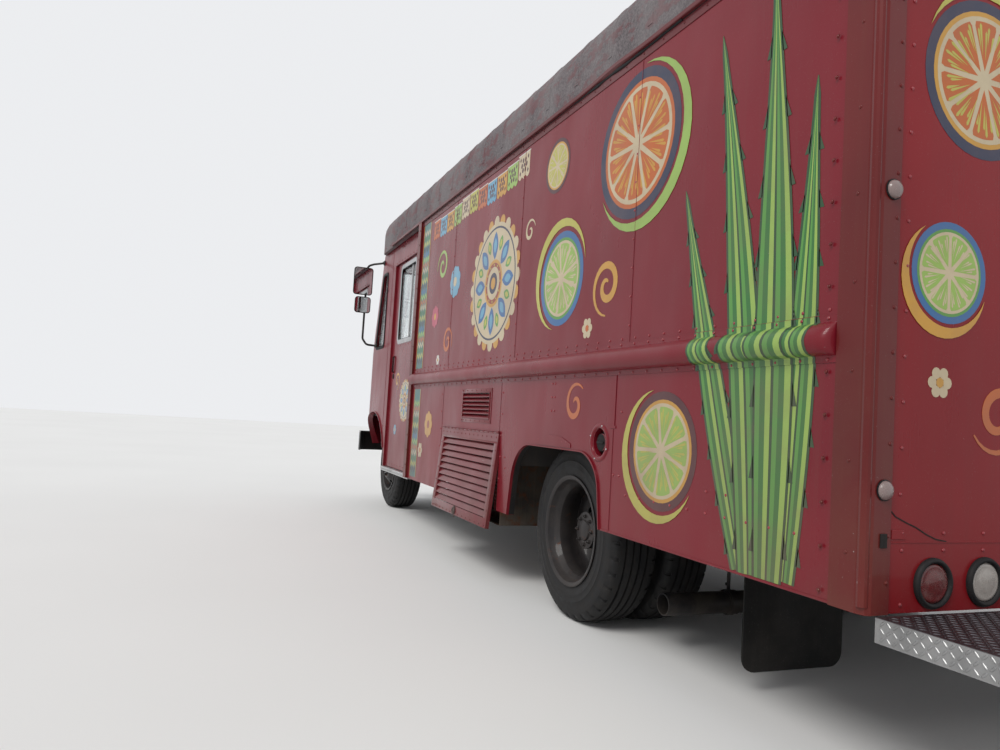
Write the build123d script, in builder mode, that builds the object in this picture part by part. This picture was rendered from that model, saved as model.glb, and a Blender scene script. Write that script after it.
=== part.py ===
# Step-van food truck, built as separate pieces. Millimetres: X forward, Y to the left, Z up.
# The ground is Z 0 and the origin lies under the middle of the truck.
import os
from math import cos, pi, sin

from build123d import *

os.makedirs("parts", exist_ok=True)

# Driving sizes of the body
REAR, NOSE = -3275.0, 3430.0
BUMPER_TIP = NOSE + 245
SIDE, WALL = 1175.0, 40.0                   # outer side plane and the whole wall's thickness
INNER = SIDE - WALL
CAB_SIDE = SIDE - 40                        # side plane of the cab front
EAVE, ROOF_RISE = 2480.0, 420.0             # top of the walls, and the roof's height over it
SKIRT_REAR, SKIRT_FRONT = 495.0, 420.0
FLOOR_LOW, FLOOR_TOP = 684.0, 724.0
POST_X, POST_HALF = NOSE - 2148, 40.0       # post between the load space and the cab door
DOOR_REAR, DOOR_FRONT = POST_X + 18, NOSE - 1145
DOOR_Y, DOOR_THICK = SIDE - 60, 30.0        # outer face of the sliding doors
DOOR_TOP, DOOR_RUN = EAVE - 180, 780.0
STEP_DEPTH, STEP_TOP, STEP_LIP = 400.0, 493.0, 63.0
PLATE_HOLES, PLATE_HOLE_R = 177.8, 3.5      # licence plate bolts, both ends
NOSE_LOW, NOSE_R = 600.0, 420.0             # underside and corner radius of the nose

# Fits
RUN = 0.05                                  # running clearance of a bearing
TOUCH = 0.3                                 # gap of faces that meet
CLEAR = 5.0                                 # gap round a panel that moves

# Wheels, axles and rails
TYRE_R, TYRE_W, TYRE_BORE, SIDES = 420.0, 245.0, 252.0, 32
REAR_AXLE, FRONT_AXLE = REAR + 1850, NOSE - 605
DUAL_HALF = 140.0
DUAL_MID = SIDE - 105 - TYRE_W / 2 - DUAL_HALF
FRONT_WHEEL_Y = SIDE - 225 - TYRE_W / 2
KINGPIN_Y, KINGPIN_R = FRONT_WHEEL_Y - 177.5, 26.0
SPINDLE_R, STUB_R, EYE_R = 45.0, 35.0, 44.0
RAIL_OUT, RAIL_IN, RAIL_LOW = 430.0, 362.0, FLOOR_LOW - 180

# Openings and panels
ARCH_REAR, ARCH_FRONT, ARCH_TOP, ARCH_R = REAR + 1370, REAR + 2390, 810.0, 230.0
NOSE_ARCH_R = TYRE_R + 90
HOUSE_TOP, HOUSE_Y = 900.0, 520.0
SERVE_X0, SERVE_X1, SERVE_Z0, SERVE_Z1 = -1275.0, 925.0, 1360.0, EAVE - 310
BACK_Y, BACK_Z0, BACK_Z1 = 425.0, FLOOR_TOP, EAVE - 180
GEN_X0, GEN_LONG, GEN_TOP, GEN_H, GEN_TILT = REAR + 2560, 1058.0, 846.0, 537.0, 5.6
GEN_X1 = GEN_X0 + GEN_LONG
VENT_X0, VENT_LONG, VENT_Z0, VENT_Z1 = GEN_X0 + 160, 540.0, 900.0, 1110.0
VENT_X1 = VENT_X0 + VENT_LONG
FILLER_X, FILLER_Z, FILLER_R = REAR + 1400, 860.0, 60.0
WINDOW_LOW, WINDOW_HIGH = EAVE - 920, EAVE - 200


def bar(x0, x1, y0, y1, z0, z1, mode=Mode.ADD):
    with Locations(((x0 + x1) / 2, (y0 + y1) / 2, (z0 + z1) / 2)):
        Box(abs(x1 - x0), abs(y1 - y0), abs(z1 - z0), mode=mode)


def side_sheet(points, y0, y1, mode=Mode.ADD, corners=(), radius=0.0):
    # an outline in X and Z, through a thickness along Y, with some of its corners rounded
    with BuildSketch(Plane.XZ.offset(-max(y0, y1))) as outline:
        Polygon(*points, align=None)
        if corners:
            round_off = [v for v in outline.vertices()
                         if any(abs(v.X - points[c][0]) + abs(v.Y - points[c][1]) < 1 for c in corners)]
            fillet(round_off, radius)
    extrude(outline.sketch, amount=abs(y1 - y0), mode=mode)


def cross_sheet(points, x0, x1, mode=Mode.ADD):
    # an outline in Y and Z, through a length along X
    with BuildSketch(Plane.YZ.offset(min(x0, x1))) as outline:
        Polygon(*points, align=None)
    extrude(outline.sketch, amount=abs(x1 - x0), mode=mode)


def flat_sheet(points, z0, z1, mode=Mode.ADD):
    # an outline in X and Y, through a height
    with BuildSketch(Plane.XY.offset(z0)) as outline:
        Polygon(*points, align=None)
    extrude(outline.sketch, amount=z1 - z0, mode=mode)


def cab_plan(x0, x1, half, corner, z0, z1, mode=Mode.ADD):
    # the cab's plan: square at the rear, with both front corners rounded
    with BuildSketch(Plane.XY.offset(z0)) as plan:
        Polygon((x0, -half), (x1, -half), (x1, half), (x0, half), align=None)
        fillet(plan.vertices().group_by(Axis.X)[-1], corner)
    extrude(plan.sketch, amount=z1 - z0, mode=mode)


def rod(a, b, r, mode=Mode.ADD, sides=0):
    # round where it turns in or on something, else with a few flats
    d = Vector(*b) - Vector(*a)
    with BuildSketch(Plane(origin=a, z_dir=d)) as disc:
        if sides:
            RegularPolygon(r, sides)
        else:
            Circle(r)
    extrude(disc.sketch, amount=d.length, mode=mode)


def turned(x, z, profile, mode=Mode.ADD, sides=SIDES):
    # a wheel-like form about an axis along Y, from a closed profile of (y, radius), with flat sides
    spokes = [(cos(2 * pi * i / sides), sin(2 * pi * i / sides)) for i in range(sides)]
    rings = [[Vector(x + r * c, y, z + r * s) for c, s in spokes] for y, r in profile]
    faces = []
    for near, far in zip(rings, rings[1:] + rings[:1]):
        for i in range(sides):
            j = (i + 1) % sides
            faces.append(Face(Wire.make_polygon([near[i], near[j], far[j], far[i]])))
    add(Solid(Shell(faces)), mode=mode)


def keep(piece, name):
    piece.part.label = name
    export_step(piece.part, f"parts/{name}.step")


# Ladder frame: two channel rails and their cross members
CROSS_MEMBERS = (REAR + 175, REAR + 1275, -700, 500, FRONT_AXLE - 1325, NOSE - 130)
RAIL_SHEET = 8.0
with BuildPart() as chassis_frame:
    for s in (1, -1):
        bar(REAR + WALL, NOSE - WALL, s * (RAIL_OUT - RAIL_SHEET), s * RAIL_OUT, RAIL_LOW, FLOOR_LOW)
        for z in (RAIL_LOW, FLOOR_LOW - RAIL_SHEET):
            bar(REAR + WALL, NOSE - WALL, s * RAIL_IN, s * RAIL_OUT, z, z + RAIL_SHEET)
    for x in CROSS_MEMBERS:
        bar(x, x + 60, -RAIL_OUT + 4, RAIL_OUT - 4, FLOOR_LOW - 66, FLOOR_LOW)
keep(chassis_frame, "chassis_frame")

# Front beam axle: dropped beam, round eyes for the king pins, leaf springs on its pads
EYE_LOW, EYE_HIGH = TYRE_R - 55 + TOUCH, TYRE_R + 55 - TOUCH
PAD = TYRE_R - 35
with BuildPart() as front_axle:
    x = FRONT_AXLE
    half = [(0, PAD - 65), (KINGPIN_Y - 130, PAD - 65), (KINGPIN_Y - 50, EYE_LOW), (KINGPIN_Y, EYE_LOW),
            (KINGPIN_Y, EYE_HIGH), (KINGPIN_Y - 50, EYE_HIGH), (KINGPIN_Y - 150, PAD), (0, PAD)]
    for s in (1, -1):
        cross_sheet([(s * y, z) for y, z in half], x - 32, x + 32)
        rod((x, s * KINGPIN_Y, EYE_LOW), (x, s * KINGPIN_Y, EYE_HIGH), EYE_R, sides=16)
        side_sheet([(x - 620, PAD + 80), (x - 300, PAD + 20), (x - 45, PAD - 1), (x + 45, PAD - 1),
                    (x + 300, PAD + 20), (x + 620, PAD + 80), (x + 620, RAIL_LOW), (x + 560, RAIL_LOW),
                    (x + 300, PAD + 55), (x, PAD + 40), (x - 300, PAD + 55), (x - 560, RAIL_LOW),
                    (x - 620, RAIL_LOW)], s * RAIL_IN, s * RAIL_OUT)
        rod((x, s * KINGPIN_Y, EYE_LOW - 1), (x, s * KINGPIN_Y, EYE_HIGH + 1), KINGPIN_R + RUN, Mode.SUBTRACT)
keep(front_axle, "front_axle")

# Rear drive axle: tubes, differential bowl, backing plates, springs outside the rails
BOWL_R, BOWL_HALF = 160.0, 150.0
HUB_INNER, HUB_OUTER = DUAL_MID - 208, SIDE - 190
with BuildPart() as rear_axle:
    x, z = REAR_AXLE, TYRE_R
    turned(x, z, [(-BOWL_HALF, 60), (-80, BOWL_R), (80, BOWL_R), (BOWL_HALF, 60), (BOWL_HALF, 45),
                  (-BOWL_HALF, 45)], sides=20)
    rod((x, -HUB_INNER + 10, z), (x, HUB_INNER - 10, z), 55, sides=16)
    rod((x, -HUB_OUTER + 5, z), (x, HUB_OUTER - 5, z), SPINDLE_R)
    for s in (1, -1):
        rod((x, s * (HUB_INNER - 34), z), (x, s * (HUB_INNER - 22), z), 190, sides=24)
        side_sheet([(x - 640, z + 125), (x - 300, z + 70), (x, z + 50), (x + 300, z + 70), (x + 640, z + 125),
                    (x + 640, z + 180), (x + 590, z + 180), (x + 300, z + 115), (x, z + 100),
                    (x - 300, z + 115), (x - 590, z + 180), (x - 640, z + 180)], s * 440, s * 505)
        for end in (-1, 1):
            bar(x + end * 590, x + end * 640, s * RAIL_OUT, s * 505, z + 125, z + 180)
keep(rear_axle, "rear_axle")

# Engine as one plain block, with gearbox, propeller shaft and its joints
ENGINE_X0, ENGINE_X1, ENGINE_HALF, ENGINE_TOP = FRONT_AXLE - 475, FRONT_AXLE + 325, 250.0, 1150.0
SHAFT_FRONT = ENGINE_X0 - 490
with BuildPart() as driveline:
    bar(ENGINE_X0, ENGINE_X1, -ENGINE_HALF, ENGINE_HALF, FLOOR_LOW - 214, ENGINE_TOP)
    bar(ENGINE_X0 - 500, ENGINE_X0, -150, 150, FLOOR_LOW - 234, FLOOR_LOW - 19)
    tail = REAR_AXLE + BOWL_R + TOUCH
    rod((SHAFT_FRONT, 0, TYRE_R + 140), (tail, 0, TYRE_R + 4), 40, sides=16)
    for t in (0.02, 0.5, 0.96):
        px, pz = SHAFT_FRONT + t * (tail - SHAFT_FRONT), TYRE_R + 140 - 136 * t
        rod((px - 35, 0, pz), (px + 35, 0, pz), 62, sides=16)
keep(driveline, "driveline")

# Fuel tank between the rails, in two straps
TANK_X0, TANK_X1, TANK_HALF, TANK_LOW, TANK_TOP = -2900.0, -2150.0, 330.0, 400.0, 610.0
with BuildPart() as fuel_tank:
    cross_sheet([(-TANK_HALF, TANK_LOW + 45), (-TANK_HALF + 45, TANK_LOW), (TANK_HALF - 45, TANK_LOW),
                 (TANK_HALF, TANK_LOW + 45), (TANK_HALF, TANK_TOP - 30), (TANK_HALF - 30, TANK_TOP),
                 (-TANK_HALF + 30, TANK_TOP), (-TANK_HALF, TANK_TOP - 30)], TANK_X0, TANK_X1)
    for x in (TANK_X0 + 100, TANK_X1 - 140):
        bar(x, x + 40, -TANK_HALF - 8, TANK_HALF + 8, TANK_TOP - 5, TANK_TOP + 8)
        bar(x, x + 40, -TANK_HALF + 45, TANK_HALF - 45, TANK_LOW - 6, TANK_LOW + 5)
        for s in (1, -1):
            bar(x, x + 40, s * (TANK_HALF - 5), s * RAIL_IN, RAIL_LOW + 8, TANK_TOP + 8)
keep(fuel_tank, "fuel_tank")

# Transverse pipe behind the left rear wheels, with its hangers
PIPE_X, PIPE_Z, PIPE_R = REAR + 1290, 200.0, 47.0
with BuildPart() as waste_pipe:
    rod((PIPE_X, RAIL_IN - 32, PIPE_Z), (PIPE_X, 900, PIPE_Z), PIPE_R, sides=24)
    rod((PIPE_X, RAIL_IN, PIPE_Z), (PIPE_X, 901, PIPE_Z), PIPE_R - 5, Mode.SUBTRACT, sides=24)
    bar(PIPE_X - 35, PIPE_X + 35, 60, RAIL_IN - 22, PIPE_Z - 28, PIPE_Z + 28)
    bar(PIPE_X - 10, PIPE_X + 10, 560, 580, PIPE_Z + 40, FLOOR_LOW)
    bar(PIPE_X - 10, PIPE_X + 10, 90, 110, PIPE_Z + 26, RAIL_LOW + 110)
    bar(PIPE_X - 10, PIPE_X + 10, 90, RAIL_IN, RAIL_LOW + 90, RAIL_LOW + 110)
keep(waste_pipe, "waste_pipe")

# Floor: one deck with the wheel houses and the generator let into it, narrower between the cab doors
HOUSE_X0, HOUSE_X1 = ARCH_REAR - 40, ARCH_FRONT + 30
STEP_Z, STEP_IN, CAB_BACK = 440.0, 700.0, POST_X + POST_HALF + TOUCH
WELL_OUT, WELL_FRONT = DOOR_Y - 40, DOOR_FRONT + 5
SLIDE_BACK = DOOR_REAR - DOOR_RUN - 40       # where the deck narrows for the doors
GEN_IN = SIDE - 695                          # inner side of the generator compartment
HOUSE_SHEET, HOUSE_FRONT = 12.0, NOSE - 60
with BuildPart() as floor:
    bar(REAR + WALL, SLIDE_BACK, -INNER, INNER, FLOOR_LOW, FLOOR_TOP)
    bar(SLIDE_BACK, CAB_BACK, -WELL_OUT, WELL_OUT, FLOOR_LOW, FLOOR_TOP)
    bar(CAB_BACK, WELL_FRONT + 6, -STEP_IN + TOUCH, STEP_IN - TOUCH, FLOOR_LOW, FLOOR_TOP)
    for s in (1, -1):
        bar(HOUSE_X0 - TOUCH, HOUSE_X1 + TOUCH, s * (HOUSE_Y - TOUCH), s * (INNER + 1), FLOOR_LOW - 1,
            FLOOR_TOP + 1, Mode.SUBTRACT)
    bar(GEN_X0 + 30 - TOUCH, GEN_X1 - 30 + TOUCH, GEN_IN - TOUCH, INNER + 1, FLOOR_LOW - 1, FLOOR_TOP + 1,
        Mode.SUBTRACT)
keep(floor, "floor")

# Wheel houses: boxes over the rear wheels, and over the front ones a shelf with its inner side
with BuildPart() as wheel_houses:
    cab_plan(WELL_FRONT + TOUCH, HOUSE_FRONT, CAB_SIDE - WALL - 6, NOSE_R - 80, HOUSE_TOP - HOUSE_SHEET,
             HOUSE_TOP)
    inner, rear = RAIL_OUT + 6, WELL_FRONT + 6 + TOUCH
    bar(WELL_FRONT, HOUSE_FRONT + 1, -inner, inner, HOUSE_TOP - 20, HOUSE_TOP + 1, Mode.SUBTRACT)
    for s in (1, -1):
        bar(rear, HOUSE_FRONT, s * inner, s * (inner + HOUSE_SHEET), FLOOR_LOW, HOUSE_TOP)
        bar(rear, rear + HOUSE_SHEET, s * inner, s * (STEP_IN - TOUCH), FLOOR_LOW, HOUSE_TOP)
        bar(HOUSE_X0, HOUSE_X1, s * HOUSE_Y, s * INNER, HOUSE_TOP - HOUSE_SHEET, HOUSE_TOP)
        bar(HOUSE_X0, HOUSE_X1, s * HOUSE_Y, s * (HOUSE_Y + HOUSE_SHEET), FLOOR_LOW, HOUSE_TOP)
        for x in (HOUSE_X0, HOUSE_X1 - HOUSE_SHEET):
            bar(x, x + HOUSE_SHEET, s * HOUSE_Y, s * INNER, FLOOR_LOW, HOUSE_TOP)
keep(wheel_houses, "wheel_houses")

# Entry steps: a well behind each cab door, and the kick plate that hangs from its tread
WELL_SHEET, SILL_TOP = 10.0, STEP_Z - 4       # the door's runner slides on the sill
with BuildPart() as entry_steps:
    for s in (1, -1):
        bar(CAB_BACK + TOUCH, WELL_FRONT, s * STEP_IN, s * WELL_OUT, STEP_Z, STEP_Z + 20)
        bar(CAB_BACK + TOUCH, WELL_FRONT, s * STEP_IN, s * (STEP_IN + WELL_SHEET), STEP_Z, FLOOR_TOP)
        bar(CAB_BACK + TOUCH, CAB_BACK + WELL_SHEET, s * STEP_IN, s * WELL_OUT, STEP_Z, FLOOR_LOW - TOUCH)
        bar(WELL_FRONT - WELL_SHEET, WELL_FRONT, s * STEP_IN, s * WELL_OUT, STEP_Z, HOUSE_TOP)
        bar(CAB_BACK + 13, DOOR_FRONT - 5, s * (WELL_OUT - 10), s * (DOOR_Y + 10), SILL_TOP - 8, SILL_TOP)
        bar(CAB_BACK + 55, DOOR_FRONT - 45, s * (WELL_OUT - 10), s * (WELL_OUT - 4), SILL_TOP - 8, STEP_Z + 5)
        bar(CAB_BACK + TOUCH, DOOR_FRONT + 5 - TOUCH, s * (DOOR_Y + 7), s * (DOOR_Y + 35), SILL_TOP - 36, SILL_TOP)
keep(entry_steps, "entry_steps")


def wheel_arch(y0, y1):
    a, b = ARCH_REAR, ARCH_FRONT
    side_sheet([(a, SKIRT_FRONT - 20), (a, SKIRT_REAR), (a + 50, ARCH_TOP), (b - 60, ARCH_TOP),
                (b, SKIRT_FRONT), (b, SKIRT_FRONT - 20)], y0, y1, Mode.SUBTRACT, (2, 3), ARCH_R)


def side_wall(s):
    mid = REAR_AXLE
    side_sheet([(REAR + WALL, SKIRT_REAR), (mid, SKIRT_REAR), (mid, SKIRT_FRONT),
                (POST_X - POST_HALF + 20, SKIRT_FRONT), (POST_X - POST_HALF + 20, EAVE), (REAR + WALL, EAVE)],
               s * INNER, s * SIDE)
    wheel_arch(s * (INNER - 1), s * (SIDE + 1))


# Left side wall, with the vent, the filler and the generator door's opening under its hinge ledge
BARREL_R = 6.0
GEN_HINGE_Y, GEN_HINGE_Z = SIDE + BARREL_R, GEN_TOP + 6
with BuildPart() as left_side:
    side_wall(1)
    bar(VENT_X0 + 25, VENT_X1 - 25, INNER - 1, SIDE + 1, VENT_Z0 + 25, VENT_Z1 - 25, Mode.SUBTRACT)
    bar(GEN_X0 - CLEAR, GEN_X1 + CLEAR, INNER - 1, SIDE + 1, 400, GEN_TOP + CLEAR, Mode.SUBTRACT)
    rod((FILLER_X, INNER - 1, FILLER_Z), (FILLER_X, SIDE + 1, FILLER_Z), FILLER_R, Mode.SUBTRACT, sides=24)
    rod((FILLER_X, INNER, FILLER_Z), (FILLER_X, INNER + 6, FILLER_Z), FILLER_R + 2, sides=24)
    rod((FILLER_X, INNER + 4, FILLER_Z), (FILLER_X, SIDE - 8, FILLER_Z), FILLER_R - 24, sides=24)
    ledge = GEN_HINGE_Z + BARREL_R + TOUCH
    bar(GEN_X0, GEN_X1, SIDE - 4, SIDE + 12, ledge, ledge + 4)
keep(left_side, "left_side")

# Right side wall with the serving window, a ledge over the hatch hinge and a sill under the hatch
HATCH_BARREL, HATCH_THICK = 8.0, 28.0
HATCH_PIN_Y, HATCH_PIN_Z = -SIDE - CLEAR - HATCH_THICK, SERVE_Z1 + 42
with BuildPart() as right_side:
    side_wall(-1)
    bar(SERVE_X0, SERVE_X1, -SIDE - 1, -INNER + 1, SERVE_Z0, SERVE_Z1, Mode.SUBTRACT)
    ledge = HATCH_PIN_Z + HATCH_BARREL + TOUCH
    bar(SERVE_X0 - 40, SERVE_X1 + 40, -SIDE + 4, HATCH_PIN_Y - HATCH_BARREL, ledge, ledge + 5)
    bar(SERVE_X0 - 30, SERVE_X1 + 30, -SIDE + 4, -SIDE - 34, SERVE_Z0 - 40, SERVE_Z0 - 34)
keep(right_side, "right_side")

# Rear wall with its lamp panel and the fixed hinge leaves
BACK_PIN_X, BACK_PIN_Y, BACK_BARREL = REAR - 9, BACK_Y + 5, 8.0
HINGE_Z, HINGE_H = (900, 1500, 2100), 110.0
with BuildPart() as rear_wall:
    bar(REAR, REAR + WALL, -SIDE, SIDE, SKIRT_REAR, EAVE)
    bar(REAR - 1, REAR + WALL + 1, -BACK_Y, BACK_Y, BACK_Z0, BACK_Z1, Mode.SUBTRACT)
    for z in HINGE_Z:
        bar(REAR - 15, REAR + 4, BACK_PIN_Y + BACK_BARREL + TOUCH, BACK_PIN_Y + 40, z, z + HINGE_H)
keep(rear_wall, "rear_wall")

# Roof shell: straight sides, rounded eaves, a low crown and a rounded front, with drip rails
ROOF_TURN, ROOF_R, ROOF_FRONT, ROOF_FRONT_R = EAVE + 180, 200.0, NOSE - 640, 240.0


def roof_block(half, rise, x0, x1, low):
    # cross section: straight side, quarter round, then the crown's arc
    shoulder = half - ROOF_R
    turn = ROOF_TURN
    with BuildSketch(Plane.YZ.offset(x0)) as section:
        with BuildLine():
            Polyline((-half, turn), (-half, low), (half, low), (half, turn))
            RadiusArc((half, turn), (shoulder, EAVE + rise - 40), -ROOF_R)
            ThreePointArc((shoulder, EAVE + rise - 40), (0, EAVE + rise), (-shoulder, EAVE + rise - 40))
            RadiusArc((-shoulder, EAVE + rise - 40), (-half, turn), -ROOF_R)
        make_face()
    extrude(section.sketch, amount=x1 - x0)
    side_sheet([(x0 - 1, low - 1), (x1, low - 1), (x1, EAVE + rise + 1), (x0 - 1, EAVE + rise + 1)],
               -half - 1, half + 1, Mode.INTERSECT, (2,), ROOF_FRONT_R)


with BuildPart() as roof_space:
    roof_block(SIDE - WALL, ROOF_RISE - WALL, REAR + WALL, ROOF_FRONT - WALL, EAVE - 1)
with BuildPart() as roof:
    roof_block(SIDE, ROOF_RISE, REAR, ROOF_FRONT, EAVE)
    add(roof_space.part, mode=Mode.SUBTRACT)
    for s in (1, -1):
        bar(REAR, DOOR_FRONT, s * (SIDE - 4), s * (SIDE + 20), EAVE, EAVE + 4)
        bar(REAR, DOOR_FRONT, s * (SIDE + 17), s * (SIDE + 20), EAVE, EAVE + 18)
keep(roof, "roof")

# Cab front: door header, corner panels, windscreen frame, bonnet and nose
SCREEN_TOP, SCREEN_FOOT, SCREEN_Z = ROOF_FRONT + 30, NOSE - 370, WINDOW_LOW - 20
PILLAR = (DOOR_FRONT + 5, DOOR_FRONT + 125)
QUARTER = [(DOOR_FRONT + 300, WINDOW_LOW), (DOOR_FRONT + 300, WINDOW_HIGH), (SCREEN_TOP - 45, WINDOW_HIGH),
           (SCREEN_FOOT - 110, WINDOW_LOW)]


def cab_outline(inset):
    # side view: nose, bonnet, raked windscreen and header, moved in by the panel's thickness
    i = inset
    return [(CAB_BACK - 2 * i, NOSE_LOW - 4 * i), (NOSE - i, NOSE_LOW - 4 * i), (NOSE - i, 960 - i),
            (NOSE - 130 - i * 0.7, 1290 - i * 0.7), (SCREEN_FOOT - i, SCREEN_Z - i * 0.6),
            (SCREEN_TOP - i, EAVE - 80), (ROOF_FRONT - i, EAVE + i), (CAB_BACK - 2 * i, EAVE + i)]


with BuildPart() as cab_space:
    side_sheet(cab_outline(WALL), -CAB_SIDE, CAB_SIDE, Mode.ADD, (2, 3), 150)
    cab_plan(CAB_BACK - 200, NOSE - WALL, CAB_SIDE - WALL, NOSE_R - WALL, 300, EAVE + 100, Mode.INTERSECT)
with BuildPart() as cab_front:
    side_sheet(cab_outline(0), -CAB_SIDE, CAB_SIDE, Mode.ADD, (2, 3), 190)
    bar(CAB_BACK, PILLAR[1], -CAB_SIDE, CAB_SIDE, SKIRT_FRONT, NOSE_LOW + 1)
    cab_plan(CAB_BACK, NOSE, CAB_SIDE, NOSE_R, 300, EAVE + 100, Mode.INTERSECT)
    add(cab_space.part, mode=Mode.SUBTRACT)
    bar(CAB_BACK - 1, PILLAR[1] - 20, -CAB_SIDE + WALL, CAB_SIDE - WALL, 400, EAVE - 300, Mode.SUBTRACT)
    bar(CAB_BACK - 1, PILLAR[1] + 1, -CAB_SIDE + WALL, CAB_SIDE - WALL, 400, NOSE_LOW + 2, Mode.SUBTRACT)
    bar(CAB_BACK - 1, PILLAR[0], -CAB_SIDE - 1, CAB_SIDE + 1, 400, DOOR_TOP, Mode.SUBTRACT)
    for s in (1, -1):
        bar(SCREEN_TOP - 170, SCREEN_FOOT + 140, s * 30, s * (CAB_SIDE - 135), SCREEN_Z + 45, EAVE - 130,
            Mode.SUBTRACT)
        rod((FRONT_AXLE, s * 560, TYRE_R), (FRONT_AXLE, s * (SIDE + 25), TYRE_R), NOSE_ARCH_R, Mode.SUBTRACT)
    side_sheet(QUARTER, -SIDE, SIDE, Mode.SUBTRACT)
    for z in range(int(NOSE_LOW) + 100, int(NOSE_LOW) + 370, 50):
        bar(NOSE - WALL - 10, NOSE + 10, -450, 450, z, z + 24, Mode.SUBTRACT)
keep(cab_front, "cab_front")

# Windscreen halves and quarter windows
PANE = 6.0
with BuildPart() as cab_glass:
    screen = [(SCREEN_FOOT - 20, SCREEN_Z), (SCREEN_FOOT - 14, SCREEN_Z), (SCREEN_TOP - 14, EAVE - 80),
              (SCREEN_TOP - 20, EAVE - 80)]
    for s in (1, -1):
        side_sheet(screen, s * (30 + TOUCH), s * (CAB_SIDE - 135 - TOUCH))
    bar(SCREEN_TOP - 200, SCREEN_FOOT + 200, -SIDE, SIDE, SCREEN_Z + 45 + TOUCH, EAVE - 130 - TOUCH,
        Mode.INTERSECT)
    a, b, c, d = QUARTER
    inset = [(a[0] + TOUCH, a[1] + TOUCH), (b[0] + TOUCH, b[1] - TOUCH), (c[0] - TOUCH, c[1] - TOUCH),
             (d[0] - 2 * TOUCH, d[1] + TOUCH)]
    for s in (1, -1):
        side_sheet(inset, s * (CAB_SIDE - 25), s * (CAB_SIDE - 25 + PANE))
keep(cab_glass, "cab_glass")

# Rub rails: hollow bulged rail on a riveted strip, along both sides
RUB_LOW, RUB_HIGH, RUB_OUT, RUB_SHEET = 1140.0, 1272.0, 48.0, 3.0
RUB_X0, RUB_X1 = REAR + 115, POST_X - POST_HALF
RUB_BULGE = ((2, 18), (20, 22), (38, 36), (RUB_OUT, 62), (40, 90), (20, 106), (2, 110))
with BuildPart() as rub_rails:
    for s in (1, -1):
        bar(RUB_X0, RUB_X1, s * SIDE, s * (SIDE + RUB_SHEET), RUB_LOW, RUB_HIGH)
        cross_sheet([(s * (SIDE + out), RUB_LOW + up) for out, up in RUB_BULGE], RUB_X0 + 10, RUB_X1)
        hollow = [(s * (SIDE + max(RUB_SHEET, out - RUB_SHEET)), RUB_LOW + 62 + (up - 62) * 0.93)
                  for out, up in RUB_BULGE]
        cross_sheet(hollow, RUB_X0 + 13, RUB_X1 - 3, Mode.SUBTRACT)
keep(rub_rails, "rub_rails")

# Folded corner posts with a bead at the rear, and proud posts behind the cab doors
with BuildPart() as corner_posts:
    for s in (1, -1):
        flat_sheet([(REAR + 110, s * SIDE), (REAR + 110, s * (SIDE + 8)), (REAR + 20, s * (SIDE + 10)),
                    (REAR - 8, s * (SIDE + 4)), (REAR - 14, s * (SIDE - 12)), (REAR - 10, s * (SIDE - 75)),
                    (REAR, s * (SIDE - 80)), (REAR, s * SIDE)], SKIRT_REAR, EAVE)
        rod((REAR + 2, s * (SIDE + 2), SKIRT_REAR + 20), (REAR + 2, s * (SIDE + 2), EAVE - 20), 15, sides=12)
        bar(REAR, REAR + 40, s * (SIDE - 30), s * SIDE, SKIRT_REAR, EAVE, Mode.SUBTRACT)
        bar(POST_X - POST_HALF + 20, POST_X + POST_HALF, s * (SIDE - 50), s * (SIDE + 18), SKIRT_FRONT, EAVE)
        bar(POST_X - POST_HALF, POST_X - POST_HALF + 21, s * SIDE, s * (SIDE + 18), SKIRT_FRONT, EAVE)
keep(corner_posts, "corner_posts")

# Front bumper: folded channel on two brackets
BUMP_LOW, BUMP_HIGH, BUMP_HALF, BUMP_SHEET = 510.0, 715.0, SIDE - 55, 8.0


def bumper_plan(inset):
    x, y = BUMPER_TIP - inset, BUMP_HALF - inset
    return [(x - 175, -y), (x - 115, -y), (x - 35, -y + 60), (x, -y + 220), (x, y - 220), (x - 35, y - 60),
            (x - 115, y), (x - 175, y)]


with BuildPart() as front_bumper:
    flat_sheet(bumper_plan(0), BUMP_LOW, BUMP_HIGH)
    flat_sheet(bumper_plan(BUMP_SHEET), BUMP_LOW - 10, BUMP_HIGH - BUMP_SHEET, Mode.SUBTRACT)
    for s in (1, -1):
        bar(NOSE - WALL, BUMPER_TIP - 7, s * RAIL_IN, s * RAIL_OUT, 520, 595)
        rod((BUMPER_TIP - 15, s * PLATE_HOLES / 2, 610), (BUMPER_TIP + 5, s * PLATE_HOLES / 2, 610),
            PLATE_HOLE_R, Mode.SUBTRACT)
keep(front_bumper, "front_bumper")

# Rear step bumper: turned-down tread plate on two arms
with BuildPart() as rear_step:
    back, front, low = REAR - STEP_DEPTH, REAR - 16, STEP_TOP - STEP_LIP
    bar(back, front, -SIDE + 25, SIDE - 25, low, STEP_TOP)
    bar(back + 4, front - 4, -SIDE + 29, SIDE - 29, low - 1, STEP_TOP - 5, Mode.SUBTRACT)
    for s in (1, -1):
        rod((back - 5, s * PLATE_HOLES / 2, low + 32), (back + 10, s * PLATE_HOLES / 2, low + 32),
            PLATE_HOLE_R, Mode.SUBTRACT)
        bar(back + 20, REAR, s * RAIL_IN, s * RAIL_OUT, low + 10, STEP_TOP - 4)
        bar(front - 2, REAR, s * RAIL_IN, s * RAIL_OUT, low + 10, 640)
keep(rear_step, "rear_step")

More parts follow.
